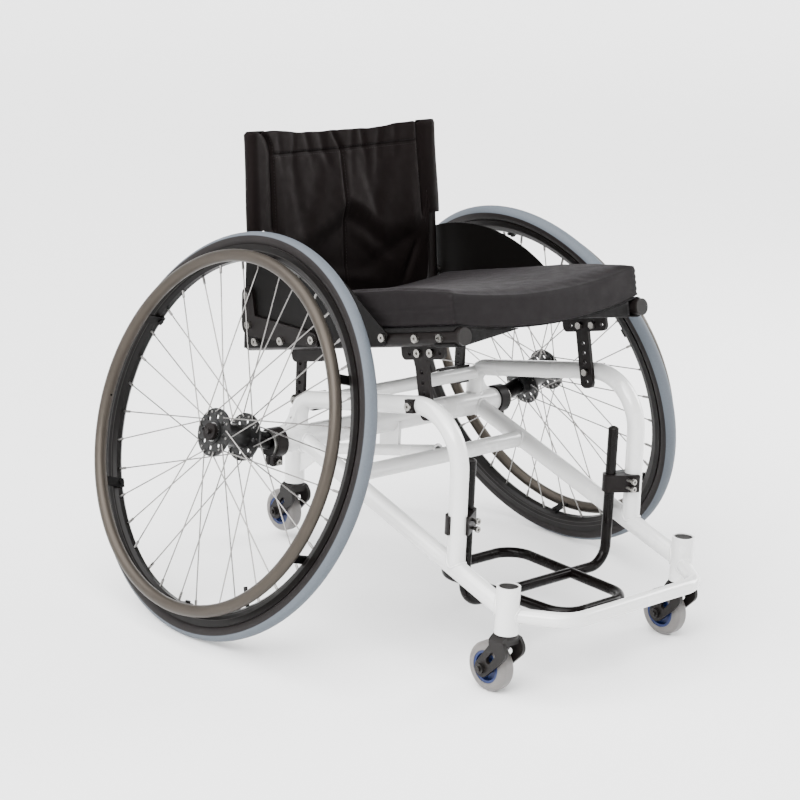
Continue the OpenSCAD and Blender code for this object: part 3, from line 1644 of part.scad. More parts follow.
module foot_loop() {
    half = loop_front_half + (loop_rear_half - loop_front_half) * loop_front / (loop_front + loop_rear);
    front = [[-half, 0], [-loop_front_half, -loop_front], [loop_front_half, -loop_front], [half, 0]];
    rear = [[-half, 0], [-loop_rear_half, loop_rear], [loop_rear_half, loop_rear], [half, 0]];
    color("black") place() translate([0, -foot_ahead, foot_z]) for (path = [front, rear])
        difference() {
            pipe(path, [loop_r, loop_r], foot_d, foot_wall);
            translate([-foot_x, 0, 0]) along_x() cylinder(d = foot_d + 2 * weld_gap, h = 2 * foot_x);
        }
}

module footrest_plugs() {
    r = foot_d / 2;
    ball = (r * r + dome_t * dome_t) / (2 * dome_t);
    color("black") place() for (x = [-foot_x, foot_x])
        translate([x, -foot_ahead, foot_top]) {
            translate([0, 0, -plug_depth])
                cylinder(d = foot_d - 2 * foot_wall - 2 * fit_gap, h = plug_depth + seat_gap + dome_t / 2);
            translate([0, 0, seat_gap]) rotate_extrude() intersection() {
                translate([0, dome_t - ball]) circle(r = ball);
                square([r, dome_t]);
            }
        }
}

module footrest_clamps() {
    big = [side_x, foot_clamp_y];
    small = [foot_x, -foot_ahead];
    v = big - small;
    color("black") place() both_sides() difference() {
        translate([0, 0, foot_clamp_z]) linear_extrude(foot_clamp_h) difference() {
            strap2d(big, foot_clamp_big, small, foot_clamp_small);
            translate(small) circle(d = foot_d + 2 * slide_gap);
            translate(small) rotate(atan2(v.y, v.x)) translate([0, -foot_slit / 2])
                square([norm(v), foot_slit]);
            translate(big - [foot_lip, 2 * foot_clamp_big]) square(2 * foot_clamp_big);
        }
        side_bar(side_d + 2 * fit_gap);
        for (z = [foot_bolt_in, foot_clamp_h - foot_bolt_in])
            translate([foot_bolt_x, foot_clamp_y - 2 * foot_clamp_big, foot_clamp_z + z]) along_y()
                cylinder(d = screw_d + 2 * hole_gap, h = 4 * foot_clamp_big);
    }
}

axle_tube();
side_tube_left();
side_tube_right();
lower_rail_left();
lower_rail_right();
rear_cross_tube();
mid_cross_tube();
front_bumper();
caster_barrels();
rear_strut();
axle_gussets();
barrel_caps();
camber_clamps();
camber_plugs();
swivel_bearings();
axle_pins();
hub_bearings();
clamp_bolts();
seat_rail_left();
seat_rail_right();
end_plugs();
front_posts();
rear_posts();
post_clamps();
seat_bolts();
seat_sling();
seat_cushion();
back_plates();
back_posts();
back_upholstery();
side_guard_left();
side_guard_right();
footrest_clamps();
footrest_posts();
foot_loop();
footrest_plugs();
tyre_left();
tyre_right();
rim_left();
rim_right();
spokes_left();
spokes_right();
hub_left();
hub_right();
handrim_left();
handrim_right();
axle_button_left();
axle_button_right();
fork_left();
fork_right();
fork_rear();
caster_tyre_left();
caster_tyre_right();
caster_tyre_rear();
caster_core_left();
caster_core_right();
caster_core_rear();
caster_axle_left();
caster_axle_right();
caster_axle_rear();
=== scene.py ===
import json
import math

import bmesh
import bpy
from mathutils import Matrix, Vector, noise


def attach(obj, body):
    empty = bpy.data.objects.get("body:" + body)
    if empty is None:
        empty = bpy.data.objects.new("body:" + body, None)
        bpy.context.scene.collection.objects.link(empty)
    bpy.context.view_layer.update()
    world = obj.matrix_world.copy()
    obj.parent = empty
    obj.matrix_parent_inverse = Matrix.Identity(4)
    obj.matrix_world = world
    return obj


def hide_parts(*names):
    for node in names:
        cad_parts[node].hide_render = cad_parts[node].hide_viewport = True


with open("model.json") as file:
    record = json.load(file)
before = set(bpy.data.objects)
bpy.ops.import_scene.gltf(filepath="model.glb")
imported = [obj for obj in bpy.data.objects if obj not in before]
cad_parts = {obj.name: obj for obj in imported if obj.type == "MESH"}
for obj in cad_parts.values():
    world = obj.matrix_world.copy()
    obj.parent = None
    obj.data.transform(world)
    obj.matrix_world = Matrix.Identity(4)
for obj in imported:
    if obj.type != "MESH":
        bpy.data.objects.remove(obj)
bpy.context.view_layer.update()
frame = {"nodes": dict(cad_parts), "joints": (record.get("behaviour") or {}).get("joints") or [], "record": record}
nodes = frame["nodes"]
print("frame loaded:", len(nodes), "nodes")

# camera, matched to the photograph: place in metres, turns in degrees, lens and sensor in millimetres
cameraSetup = {
    "place": (-2.1656, -2.2234, 1.1351),
    "yaw": 42.9975,
    "pitch": 14.6759,
    "roll": 2.4897,
    "lens": 93.80,
    "sensor": 36,
}


def placeCamera(setup):
    yaw, pitch, roll = (math.radians(setup[k]) for k in ("yaw", "pitch", "roll"))
    ahead = Vector((math.sin(yaw) * math.cos(pitch), math.cos(yaw) * math.cos(pitch), -math.sin(pitch)))
    right = Vector((math.cos(yaw), -math.sin(yaw), 0))
    up = right.cross(ahead)
    rolledRight = right * math.cos(roll) + up * math.sin(roll)
    rolledUp = up * math.cos(roll) - right * math.sin(roll)
    data = bpy.data.cameras.new("camera")
    data.lens = setup["lens"]
    data.sensor_width = setup["sensor"]
    camera = bpy.data.objects.new("camera", data)
    turn = Matrix((rolledRight, rolledUp, -ahead)).transposed()
    camera.matrix_world = Matrix.Translation(setup["place"]) @ turn.to_4x4()
    bpy.context.scene.collection.objects.link(camera)
    bpy.context.scene.camera = camera


placeCamera(cameraSetup)


# small helpers for nodes
def linear(hexText):
    channels = [int(hexText[i:i + 2], 16) / 255 for i in (1, 3, 5)]
    return [c / 12.92 if c <= 0.04045 else ((c + 0.055) / 1.055) ** 2.4 for c in channels] + [1.0]


def addNode(tree, kind, settings={}, links={}):
    node = tree.nodes.new(kind)
    for name, value in settings.items():
        if isinstance(name, str) and hasattr(node, name):
            setattr(node, name, value)
        else:
            node.inputs[name].default_value = value
    for name, source in links.items():
        tree.links.new(source, node.inputs[name])
    return node


def newMaterial(name, colour, roughness, metallic=0.0, sockets={}):
    material = bpy.data.materials.new(name)
    material.use_nodes = True
    tree = material.node_tree
    shader = tree.nodes["Principled BSDF"]
    shader.inputs["Base Color"].default_value = linear(colour)
    shader.inputs["Roughness"].default_value = roughness
    shader.inputs["Metallic"].default_value = metallic
    for socket, value in sockets.items():
        shader.inputs[socket].default_value = value
    place = addNode(tree, "ShaderNodeTexCoord").outputs["Object"]
    return material, tree, shader, place


usualSpan = (0.3, 0.7)  # where most of a noise lies
wholeSpan = (0.0, 1.0)


# noise of a real size drives the colour, the gloss and a shallow bump, as far as they are given
def grain(tree, shader, place, sizeMm, colours=None, rough=None, bumpMm=0.0, detail=3.0, span=usualSpan):
    tint = None
    spots = addNode(
        tree, "ShaderNodeTexNoise", {"Scale": 1000 / sizeMm, "Detail": detail}, {"Vector": place}
    ).outputs["Fac"]
    if colours:
        tint = addNode(
            tree, "ShaderNodeMix",
            {"data_type": "RGBA", 6: linear(colours[0]), 7: linear(colours[1])}, {0: spots},
        ).outputs[2]
        tree.links.new(tint, shader.inputs["Base Color"])
    if rough:
        level = addNode(
            tree, "ShaderNodeMapRange",
            {"From Min": span[0], "From Max": span[1], "To Min": rough[0], "To Max": rough[1]},
            {"Value": spots},
        )
        tree.links.new(level.outputs["Result"], shader.inputs["Roughness"])
    if bumpMm:
        bump = addNode(
            tree, "ShaderNodeBump", {"Strength": 1.0, "Distance": bumpMm / 1000}, {"Height": spots}
        )
        tree.links.new(bump.outputs["Normal"], shader.inputs["Normal"])
    return spots, tint


waveLength = math.pi / 10  # one band of a wave texture at a scale of 1, in metres


# crossed threads as a bump: a band for each axis, of which two cross on any face
def weave(tree, shader, place, spacingMm, axes, strength, bumpMm):
    bands = [
        addNode(
            tree, "ShaderNodeTexWave",
            {"bands_direction": axis, "Scale": waveLength / (spacingMm / 1000), "Distortion": 0.6,
             "Detail": 1.0},
            {"Vector": place},
        ).outputs["Fac"]
        for axis in axes
    ]
    height = bands[0]
    for band in bands[1:]:
        height = addNode(tree, "ShaderNodeMath", {"operation": "ADD"}, {0: height, 1: band}).outputs[0]
    bump = addNode(
        tree, "ShaderNodeBump", {"Strength": strength, "Distance": bumpMm / 1000}, {"Height": height}
    )
    tree.links.new(bump.outputs["Normal"], shader.inputs["Normal"])


# small helpers for meshes
def shadeSmooth(mesh):
    for face in mesh.polygons:
        face.use_smooth = True


def newPiece(name, mesh, material, body):
    piece = bpy.data.objects.new(name, mesh)
    bpy.context.scene.collection.objects.link(piece)
    mesh.materials.clear()
    mesh.materials.append(material)
    shadeSmooth(mesh)
    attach(piece, body)
    return piece


def meshFrom(bm, name):
    mesh = bpy.data.meshes.new(name)
    bm.to_mesh(mesh)
    bm.free()
    return mesh


def evaluatedMesh(piece):
    return bpy.data.meshes.new_from_object(piece.evaluated_get(bpy.context.evaluated_depsgraph_get()))


def thicken(piece, thickness):
    wall = piece.modifiers.new("cloth thickness", "SOLIDIFY")
    wall.thickness = thickness
    wall.offset = 0


# a grid with a column for each point of a strip: gives each vertex, its column and its share of the way up
def gridOver(bm, strip, rows):
    made = bmesh.ops.create_grid(bm, x_segments=len(strip) - 1, y_segments=rows, size=0.5)
    for v in made["verts"]:
        yield v, round((v.co.x + 0.5) * (len(strip) - 1)), v.co.y + 0.5


def smoothStep(a, b, x):
    t = min(1.0, max(0.0, (x - a) / (b - a)))
    return t * t * (3 - 2 * t)


def bell(off, wide):
    return math.exp(-((off / wide) ** 2))


def ripple(high, *at):
    return high * noise.noise(Vector(at))


# straight lines between points of (place, value)
def valueAt(points, at):
    for (a, va), (b, vb) in zip(points, points[1:]):
        if at <= b:
            return va + (vb - va) * max(0.0, (at - a) / (b - a))
    return points[-1][1]


# painted frame: thick white enamel, wet looking, with a faint orange peel
enamel, tree, shader, place = newMaterial(
    "whiteEnamel", "#d0d0cf", 0.24, 0.0, {"Coat Weight": 1.0, "Coat Roughness": 0.05, "IOR": 1.5}
)
grain(tree, shader, place, 45, ("#cdcdcc", "#d3d3d2"), (0.2, 0.3))
grain(tree, shader, place, 3.5, bumpMm=0.04, detail=1.0)

# footrest: gloss black enamel on bent tube
blackEnamel, tree, shader, place = newMaterial(
    "blackEnamel", "#080606", 0.2, 0.0,
    {"Coat Weight": 0.1, "Coat Roughness": 0.05, "Specular IOR Level": 0.05},
)
grain(tree, shader, place, 30, ("#060404", "#090706"), (0.22, 0.32))

# machined plates and rails: black anodised aluminium, satin
blackAnodised, tree, shader, place = newMaterial(
    "blackAnodised", "#0b0a0a", 0.4, 0.1, {"Specular IOR Level": 0.14}
)
grain(tree, shader, place, 0.9, ("#0a0707", "#110d0c"), (0.34, 0.48), 0.012, 4.0)

# forks: cast alloy under dark powder coat, fine pebbled grain
powderCoat, tree, shader, place = newMaterial(
    "darkPowderCoat", "#110e0d", 0.5, 0.0, {"Specular IOR Level": 0.2}
)
grain(tree, shader, place, 0.8, ("#0d0b0a", "#141110"), (0.42, 0.58), 0.05, 2.0)

# caps, plugs and buttons: moulded nylon, matt
mouldedNylon, tree, shader, place = newMaterial(
    "mouldedNylon", "#0e0d0c", 0.48, 0.0, {"Specular IOR Level": 0.2}
)
grain(tree, shader, place, 1.1, ("#0d0a09", "#120f0e"), (0.42, 0.56), 0.02)

# bolts: zinc plated steel with a soft mottled gloss
zincSteel, tree, shader, place = newMaterial("zincPlatedSteel", "#8d8b87", 0.3, 1.0)
grain(tree, shader, place, 2.5, ("#82807c", "#979591"), (0.22, 0.38), 0.01)

# caster axle bolts: blackened steel, oiled
blackSteel, tree, shader, place = newMaterial("blackOxideSteel", "#1c1a19", 0.34, 0.6)
grain(tree, shader, place, 1.6, ("#151413", "#242120"), (0.28, 0.42), 0.01)

# spokes and nipples: drawn stainless wire, bright along its length
stainless, tree, shader, place = newMaterial("stainlessWire", "#83817f", 0.3, 1.0)
grain(tree, shader, place, 5, ("#797775", "#8d8b89"), (0.24, 0.36))

# bearings: ground steel, bright and even
bearingSteel, tree, shader, place = newMaterial("groundSteel", "#b9bab9", 0.22, 1.0)
grain(tree, shader, place, 1.5, ("#adaead", "#c4c5c4"), (0.18, 0.3))

# camber plugs: turned aluminium, bright on the flange and black anodised on the nose beyond it
plugLook = {"noseFrom": 0.25195, "bright": ("#8f8e8b", "#a5a4a1"), "black": "#0c0b0b"}
turnedAlloy, tree, shader, place = newMaterial("turnedAluminium", "#9a9996", 0.3, 1.0)
bright = grain(tree, shader, place, 1.6, plugLook["bright"], (0.24, 0.38), 0.01)[1]
across = addNode(tree, "ShaderNodeSeparateXYZ", {}, {"Vector": place}).outputs["X"]
out = addNode(tree, "ShaderNodeMath", {"operation": "ABSOLUTE"}, {0: across}).outputs[0]
onNose = addNode(
    tree, "ShaderNodeMath", {"operation": "GREATER_THAN", 1: plugLook["noseFrom"]}, {0: out}
).outputs[0]
colour = addNode(
    tree, "ShaderNodeMix", {"data_type": "RGBA", 7: linear(plugLook["black"])}, {0: onNose, 6: bright}
)
tree.links.new(colour.outputs[2], shader.inputs["Base Color"])

# side guards: thin black sheet plastic with a dull calendered face
guardSheet, tree, shader, place = newMaterial(
    "calenderedSheet", "#050403", 0.46, 0.0, {"Specular IOR Level": 0.1}
)
grain(tree, shader, place, 1.4, ("#040302", "#060505"), (0.4, 0.54), 0.02)

# caster treads: milky grey polyurethane, light passes a little way in
urethane, tree, shader, place = newMaterial(
    "castUrethane", "#5b5856", 0.36, 0.0,
    {"Subsurface Weight": 0.35, "Subsurface Radius": (0.006, 0.006, 0.007), "Subsurface Scale": 1.0,
     "IOR": 1.5},
)
grain(tree, shader, place, 9, ("#54514f", "#625f5d"), (0.3, 0.44), 0.02)

# caster cores: blue moulded polypropylene, half matt
bluePlastic, tree, shader, place = newMaterial(
    "bluePolypropylene", "#0f1f4a", 0.4, 0.0, {"Specular IOR Level": 0.3}
)
grain(tree, shader, place, 2.2, ("#0c1a40", "#132656"), (0.34, 0.48), 0.02)

# centre and axle of each wheel, from the frame's spin joints
wheels = {
    j["name"].split("_")[-1]: (Vector(j["pos_m"]), Vector(j["axis"]).normalized())
    for j in frame["joints"] if j["name"].startswith("wheel_spin")
}


# distance from the wheel's axle, and outwards along it, in metres
def wheelCoordinates(tree, place, side):
    centre, axis = wheels[side]
    arm = addNode(
        tree, "ShaderNodeVectorMath", {"operation": "SUBTRACT", 1: centre}, {0: place}
    ).outputs["Vector"]
    outwards = addNode(
        tree, "ShaderNodeVectorMath", {"operation": "DOT_PRODUCT", 1: axis}, {0: arm}
    ).outputs["Value"]
    step = addNode(tree, "ShaderNodeVectorMath", {"operation": "SCALE", 0: axis}, {"Scale": outwards})
    flat = addNode(
        tree, "ShaderNodeVectorMath", {"operation": "SUBTRACT"}, {0: arm, 1: step.outputs["Vector"]}
    ).outputs["Vector"]
    radius = addNode(tree, "ShaderNodeVectorMath", {"operation": "LENGTH"}, {0: flat}).outputs["Value"]
    return radius, outwards


tyreLook = {
    "wall": ("#151212", "#1c1919"), "tread": ("#4a4f55", "#555b62"), "treadFrom": 0.2972, "edge": 0.0005,
    "mottleMm": 3, "bumpMm": 0.12, "rough": (0.46, 0.66),
}


# tyre: black natural rubber walls under a moulded blue-grey tread
def tyreRubber(side):
    material, tree, shader, place = newMaterial(
        "naturalRubber_" + side, "#0f0e0e", 0.55, 0.0, {"Specular IOR Level": 0.15}
    )
    mottle, wall = grain(
        tree, shader, place, tyreLook["mottleMm"], tyreLook["wall"], tyreLook["rough"], tyreLook["bumpMm"],
        4.0, wholeSpan,
    )
    tread = addNode(
        tree, "ShaderNodeMix",
        {"data_type": "RGBA", 6: linear(tyreLook["tread"][0]), 7: linear(tyreLook["tread"][1])},
        {0: mottle},
    ).outputs[2]
    onTread = addNode(
        tree, "ShaderNodeMapRange",
        {"From Min": tyreLook["treadFrom"] - tyreLook["edge"],
         "From Max": tyreLook["treadFrom"] + tyreLook["edge"]},
        {"Value": wheelCoordinates(tree, place, side)[0]},
    ).outputs["Result"]
    colour = addNode(tree, "ShaderNodeMix", {"data_type": "RGBA"}, {0: onTread, 6: wall, 7: tread})
    tree.links.new(colour.outputs[2], shader.inputs["Base Color"])
    return material


rimLook = {
    "black": ("#090707", "#0e0c0b"), "stripe": "#343332", "stripes": (0.2745, 0.2685), "stripeHalf": 0.00035,
    "mottleMm": 1.2, "rough": (0.28, 0.42),
}


# rim: black anodised extrusion with two turned pinstripes
def rimFinish(side):
    material, tree, shader, place = newMaterial(
        "anodisedRim_" + side, "#0a0909", 0.34, 0.1, {"Specular IOR Level": 0.15}
    )
    radius = wheelCoordinates(tree, place, side)[0]
    colour = grain(
        tree, shader, place, rimLook["mottleMm"], rimLook["black"], rimLook["rough"], span=wholeSpan
    )[1]
    for stripe in rimLook["stripes"]:
        off = addNode(tree, "ShaderNodeMath", {"operation": "SUBTRACT", 1: stripe}, {0: radius}).outputs[0]
        far = addNode(tree, "ShaderNodeMath", {"operation": "ABSOLUTE"}, {0: off}).outputs[0]
        on = addNode(
            tree, "ShaderNodeMath", {"operation": "LESS_THAN", 1: rimLook["stripeHalf"]}, {0: far}
        ).outputs[0]
        colour = addNode(
            tree, "ShaderNodeMix", {"data_type": "RGBA", 7: linear(rimLook["stripe"])}, {0: on, 6: colour}
        ).outputs[2]
    tree.links.new(colour, shader.inputs["Base Color"])
    return material


handrimLook = {
    "tube": ("#35312c", "#453f39"), "tab": "#0d0c0c", "rough": (0.38, 0.56),
    "brushMm": 0.9, "brushShare": 0.4, "mottleMm": 30, "mottleShare": 0.6,
    "tabsWithin": 0.0262,  # the tabs lie between the wheel and the handrim's tube
}


# handrim: hard-anodised tube, grey-brown, polished round and round, on black tabs
def handrimFinish(side):
    material, tree, shader, place = newMaterial(
        "hardAnodisedTube_" + side, "#3b3731", 0.45, 0.7, {"Specular IOR Level": 0.3}
    )
    radius, outwards = wheelCoordinates(tree, place, side)
    lanes = addNode(tree, "ShaderNodeCombineXYZ", {}, {"X": radius, "Y": outwards}).outputs["Vector"]
    brush = grain(tree, shader, lanes, handrimLook["brushMm"], detail=2.0)[0]
    mottle = grain(tree, shader, place, handrimLook["mottleMm"])[0]
    brushed = addNode(
        tree, "ShaderNodeMath", {"operation": "MULTIPLY", 1: handrimLook["brushShare"]}, {0: brush}
    ).outputs[0]
    both = addNode(
        tree, "ShaderNodeMath",
        {"operation": "MULTIPLY_ADD", 1: handrimLook["mottleShare"]}, {0: mottle, 2: brushed},
    ).outputs[0]
    tube = addNode(
        tree, "ShaderNodeMix",
        {"data_type": "RGBA", 6: linear(handrimLook["tube"][0]), 7: linear(handrimLook["tube"][1])},
        {0: both},
    ).outputs[2]
    onTab = addNode(
        tree, "ShaderNodeMath", {"operation": "LESS_THAN", 1: handrimLook["tabsWithin"]}, {0: outwards}
    ).outputs[0]
    colour = addNode(
        tree, "ShaderNodeMix", {"data_type": "RGBA", 7: linear(handrimLook["tab"])}, {0: onTab, 6: tube}
    )
    tree.links.new(colour.outputs[2], shader.inputs["Base Color"])
    level = addNode(
        tree, "ShaderNodeMapRange",
        {"To Min": handrimLook["rough"][0], "To Max": handrimLook["rough"][1]}, {"Value": both},
    )
    tree.links.new(level.outputs["Result"], shader.inputs["Roughness"])
    return material


# finish of each of the record's material slots
cadFinish = {
    "frame_white": enamel,
    "bracket_black": blackAnodised,
    "fork_black": powderCoat,
    "axle_alloy": turnedAlloy,
    "bolt_steel": zincSteel,
    "bearing_steel": bearingSteel,
    "plug_plastic": mouldedNylon,
    "guard_plastic": guardSheet,
    "spoke_steel": stainless,
    "caster_rubber": urethane,
    "caster_core_blue": bluePlastic,
}


def setFinish(name, material):
    for slot in nodes[name].material_slots:
        slot.material = material


for row in frame["record"]["subparts"]:
    if row["material_slot"] in cadFinish:
        setFinish(row["node"], cadFinish[row["material_slot"]])
for name in ("footrest_posts", "foot_loop"):
    setFinish(name, blackEnamel)
for caster in ("left", "right", "rear"):
    setFinish("caster_axle_" + caster, blackSteel)
for side in wheels:
    setFinish("tyre_" + side, tyreRubber(side))
    setFinish("rim_" + side, rimFinish(side))
    setFinish("handrim_" + side, handrimFinish(side))
print("CAD finishes set")

# weld beads, painted with the frame: each follows the line where one tube meets another
welds = {
    "points": 88, "radius": 0.0021, "ripple": 0.00022, "rippleEvery": 0.0042, "bevelSteps": 1, "halvings": 40,
}
# the frame's tubes as in the CAD, in metres: x from the middle, y behind the axle line, z above the floor
axleY = 0.118  # the axle line behind the middle of the part
axleZ, axleR = 0.268, 0.019
sideX, sideR = 0.1865, 0.0135
legY, legFrom = 0.004, 0.32
railR, railFront, barrelR = 0.014, (-0.456, 0.124), 0.017
railSlope = (axleZ - railFront[1]) / -railFront[0]
midR, midInner, midY = 0.0125, 0.1, -0.110
midAt = (midY, axleZ + midY * railSlope)
uprightTop, uprightY = (-0.347, 0.393), -0.350
uprightFoot = (uprightY, axleZ + uprightY * railSlope)
bumperR, bumperCorner = 0.011, (0.133, -0.530, 0.119)
strutR, strutAbove, strutY = 0.0095, 0.009, 0.06
strutFrom, strutTo = (midY, midAt[1] + strutAbove), (0.233, 0.1655)
strutSlope = (strutTo[1] - strutFrom[1]) / (strutTo[0] - strutFrom[0])


def awayFromLine(a, b):
    a, b = Vector(a), Vector(b)
    way = (b - a).normalized()
    return lambda p: ((p - a) - way * (p - a).dot(way)).length


def weldLine(a, b, radius, main, mainRadius):
    a, b = Vector(a), Vector(b)
    way = (b - a).normalized()
    across = way.orthogonal().normalized()
    other = way.cross(across)
    loop = []
    for i in range(welds["points"]):
        t = 2 * math.pi * i / welds["points"]
        low, high = 0.0, (b - a).length
        rim = a + (across * math.cos(t) + other * math.sin(t)) * radius
        for step in range(welds["halvings"]):  # finds where this line of the tube goes into the other one
            half = (low + high) / 2
            low, high = (half, high) if main(rim + way * half) > mainRadius else (low, half)
        loop.append(rim + way * low)
    return loop


def weldLoops():
    axle = awayFromLine((0, 0, axleZ), (1, 0, axleZ))
    rail = awayFromLine((sideX, 0, axleZ), (sideX, *railFront))
    barrel = awayFromLine((sideX, railFront[0], 0), (sideX, railFront[0], 1))
    mid = awayFromLine((0, *midAt), (1, *midAt))
    rearBarrel = awayFromLine((0, strutTo[0], 0), (0, strutTo[0], 1))
    onRail = (sideX, *midAt)
    onStrut = (0, strutY, strutFrom[1] + (strutY - strutFrom[0]) * strutSlope)
    half = [
        weldLine((sideX, legY, legFrom), (sideX, legY, axleZ), sideR, axle, axleR),
        weldLine(onRail, (sideX, 0, axleZ), railR, axle, axleR),
        weldLine((sideX, *uprightTop), (sideX, *uprightFoot), sideR, rail, railR),
        weldLine(onRail, (sideX, *railFront), railR, barrel, barrelR),
        weldLine(bumperCorner, (sideX, railFront[0], bumperCorner[2]), bumperR, barrel, barrelR),
        weldLine((midInner, *midAt), (sideX, *midAt), midR, rail, railR),
    ]
    middle = [
        weldLine(onStrut, (0, *strutFrom), strutR, mid, midR),
        weldLine(onStrut, (0, *strutTo), strutR, rearBarrel, barrelR),
    ]
    mirrored = [[Vector((-p.x, p.y, p.z)) for p in loop] for loop in half]
    return half + mirrored + middle


def makeWelds():
    curve = bpy.data.curves.new("weld_beads", "CURVE")
    curve.dimensions = "3D"
    curve.bevel_depth = welds["radius"]
    curve.bevel_resolution = welds["bevelSteps"]
    for loop in weldLoops():
        spline = curve.splines.new("POLY")
        spline.points.add(len(loop) - 1)
        spline.use_cyclic_u = True
        run = 0.0
        for i, p in enumerate(loop):
            run += (p - loop[i - 1]).length
            wave = math.sin(2 * math.pi * run / welds["rippleEvery"])
            spline.points[i].co = (p.x, p.y + axleY, p.z, 1)
            spline.points[i].radius = 1 + wave * welds["ripple"] / welds["radius"]
    holder = bpy.data.objects.new("weldCurve", curve)
    bpy.context.scene.collection.objects.link(holder)
    mesh = evaluatedMesh(holder)
    bpy.data.objects.remove(holder)
    mesh.name = "weld_beads"
    newPiece("weld_beads", mesh, enamel, "frame")


makeWelds()
print("weld beads laid")

# back cloth: coated black nylon, plain weave, soft sheen; its 0.4 mm threads are drawn at 1.2 mm to show
backNylon, tree, shader, place = newMaterial(
    "coatedNylon", "#080606", 0.6, 0.0,
    {"Sheen Weight": 0.02, "Sheen Roughness": 0.4, "Sheen Tint": linear("#d6c6c4"),
     "Specular IOR Level": 0.07, "Specular Tint": linear("#ffe8e4")},
)
grain(tree, shader, place, 14, ("#060404", "#080606"), (0.52, 0.66))
clothUv = addNode(tree, "ShaderNodeUVMap", {"uv_map": "cloth"}).outputs["UV"]
weave(tree, shader, clothUv, 1.2, "XY", 0.5, 0.05)

# sling: heavier black webbing cloth, dull
slingNylon, tree, shader, place = newMaterial(
    "heavyNylon", "#090808", 0.7, 0.0, {"Sheen Weight": 0.02, "Specular IOR Level": 0.1}
)
grain(tree, shader, place, 10, ("#080707", "#0b0a0a"), (0.62, 0.78))
weave(tree, shader, place, 2.6, "XYZ", 0.7, 0.18)

# cushion: knitted stretch polyester over foam, greyer where light falls flat; 0.5 mm stitches drawn at 2 mm
cushionKnit, tree, shader, place = newMaterial(
    "stretchKnit", "#120e0f", 0.72, 0.0,
    {"Sheen Weight": 0.1, "Sheen Roughness": 0.3, "Sheen Tint": linear("#b9b4b8"),
     "Specular IOR Level": 0.12},
)
grain(tree, shader, place, 18, ("#0e0b0c", "#120f10"), (0.64, 0.8))
weave(tree, shader, place, 2.0, "XYZ", 0.5, 0.1)

# sewing thread: bonded polyester, a shade lighter than the cloth
threadLook, tree, shader, place = newMaterial(
    "bondedThread", "#0e0c0c", 0.55, 0.0, {"Specular IOR Level": 0.15}
)
grain(tree, shader, place, 0.8, ("#0b0a09", "#120f0f"), (0.48, 0.62))

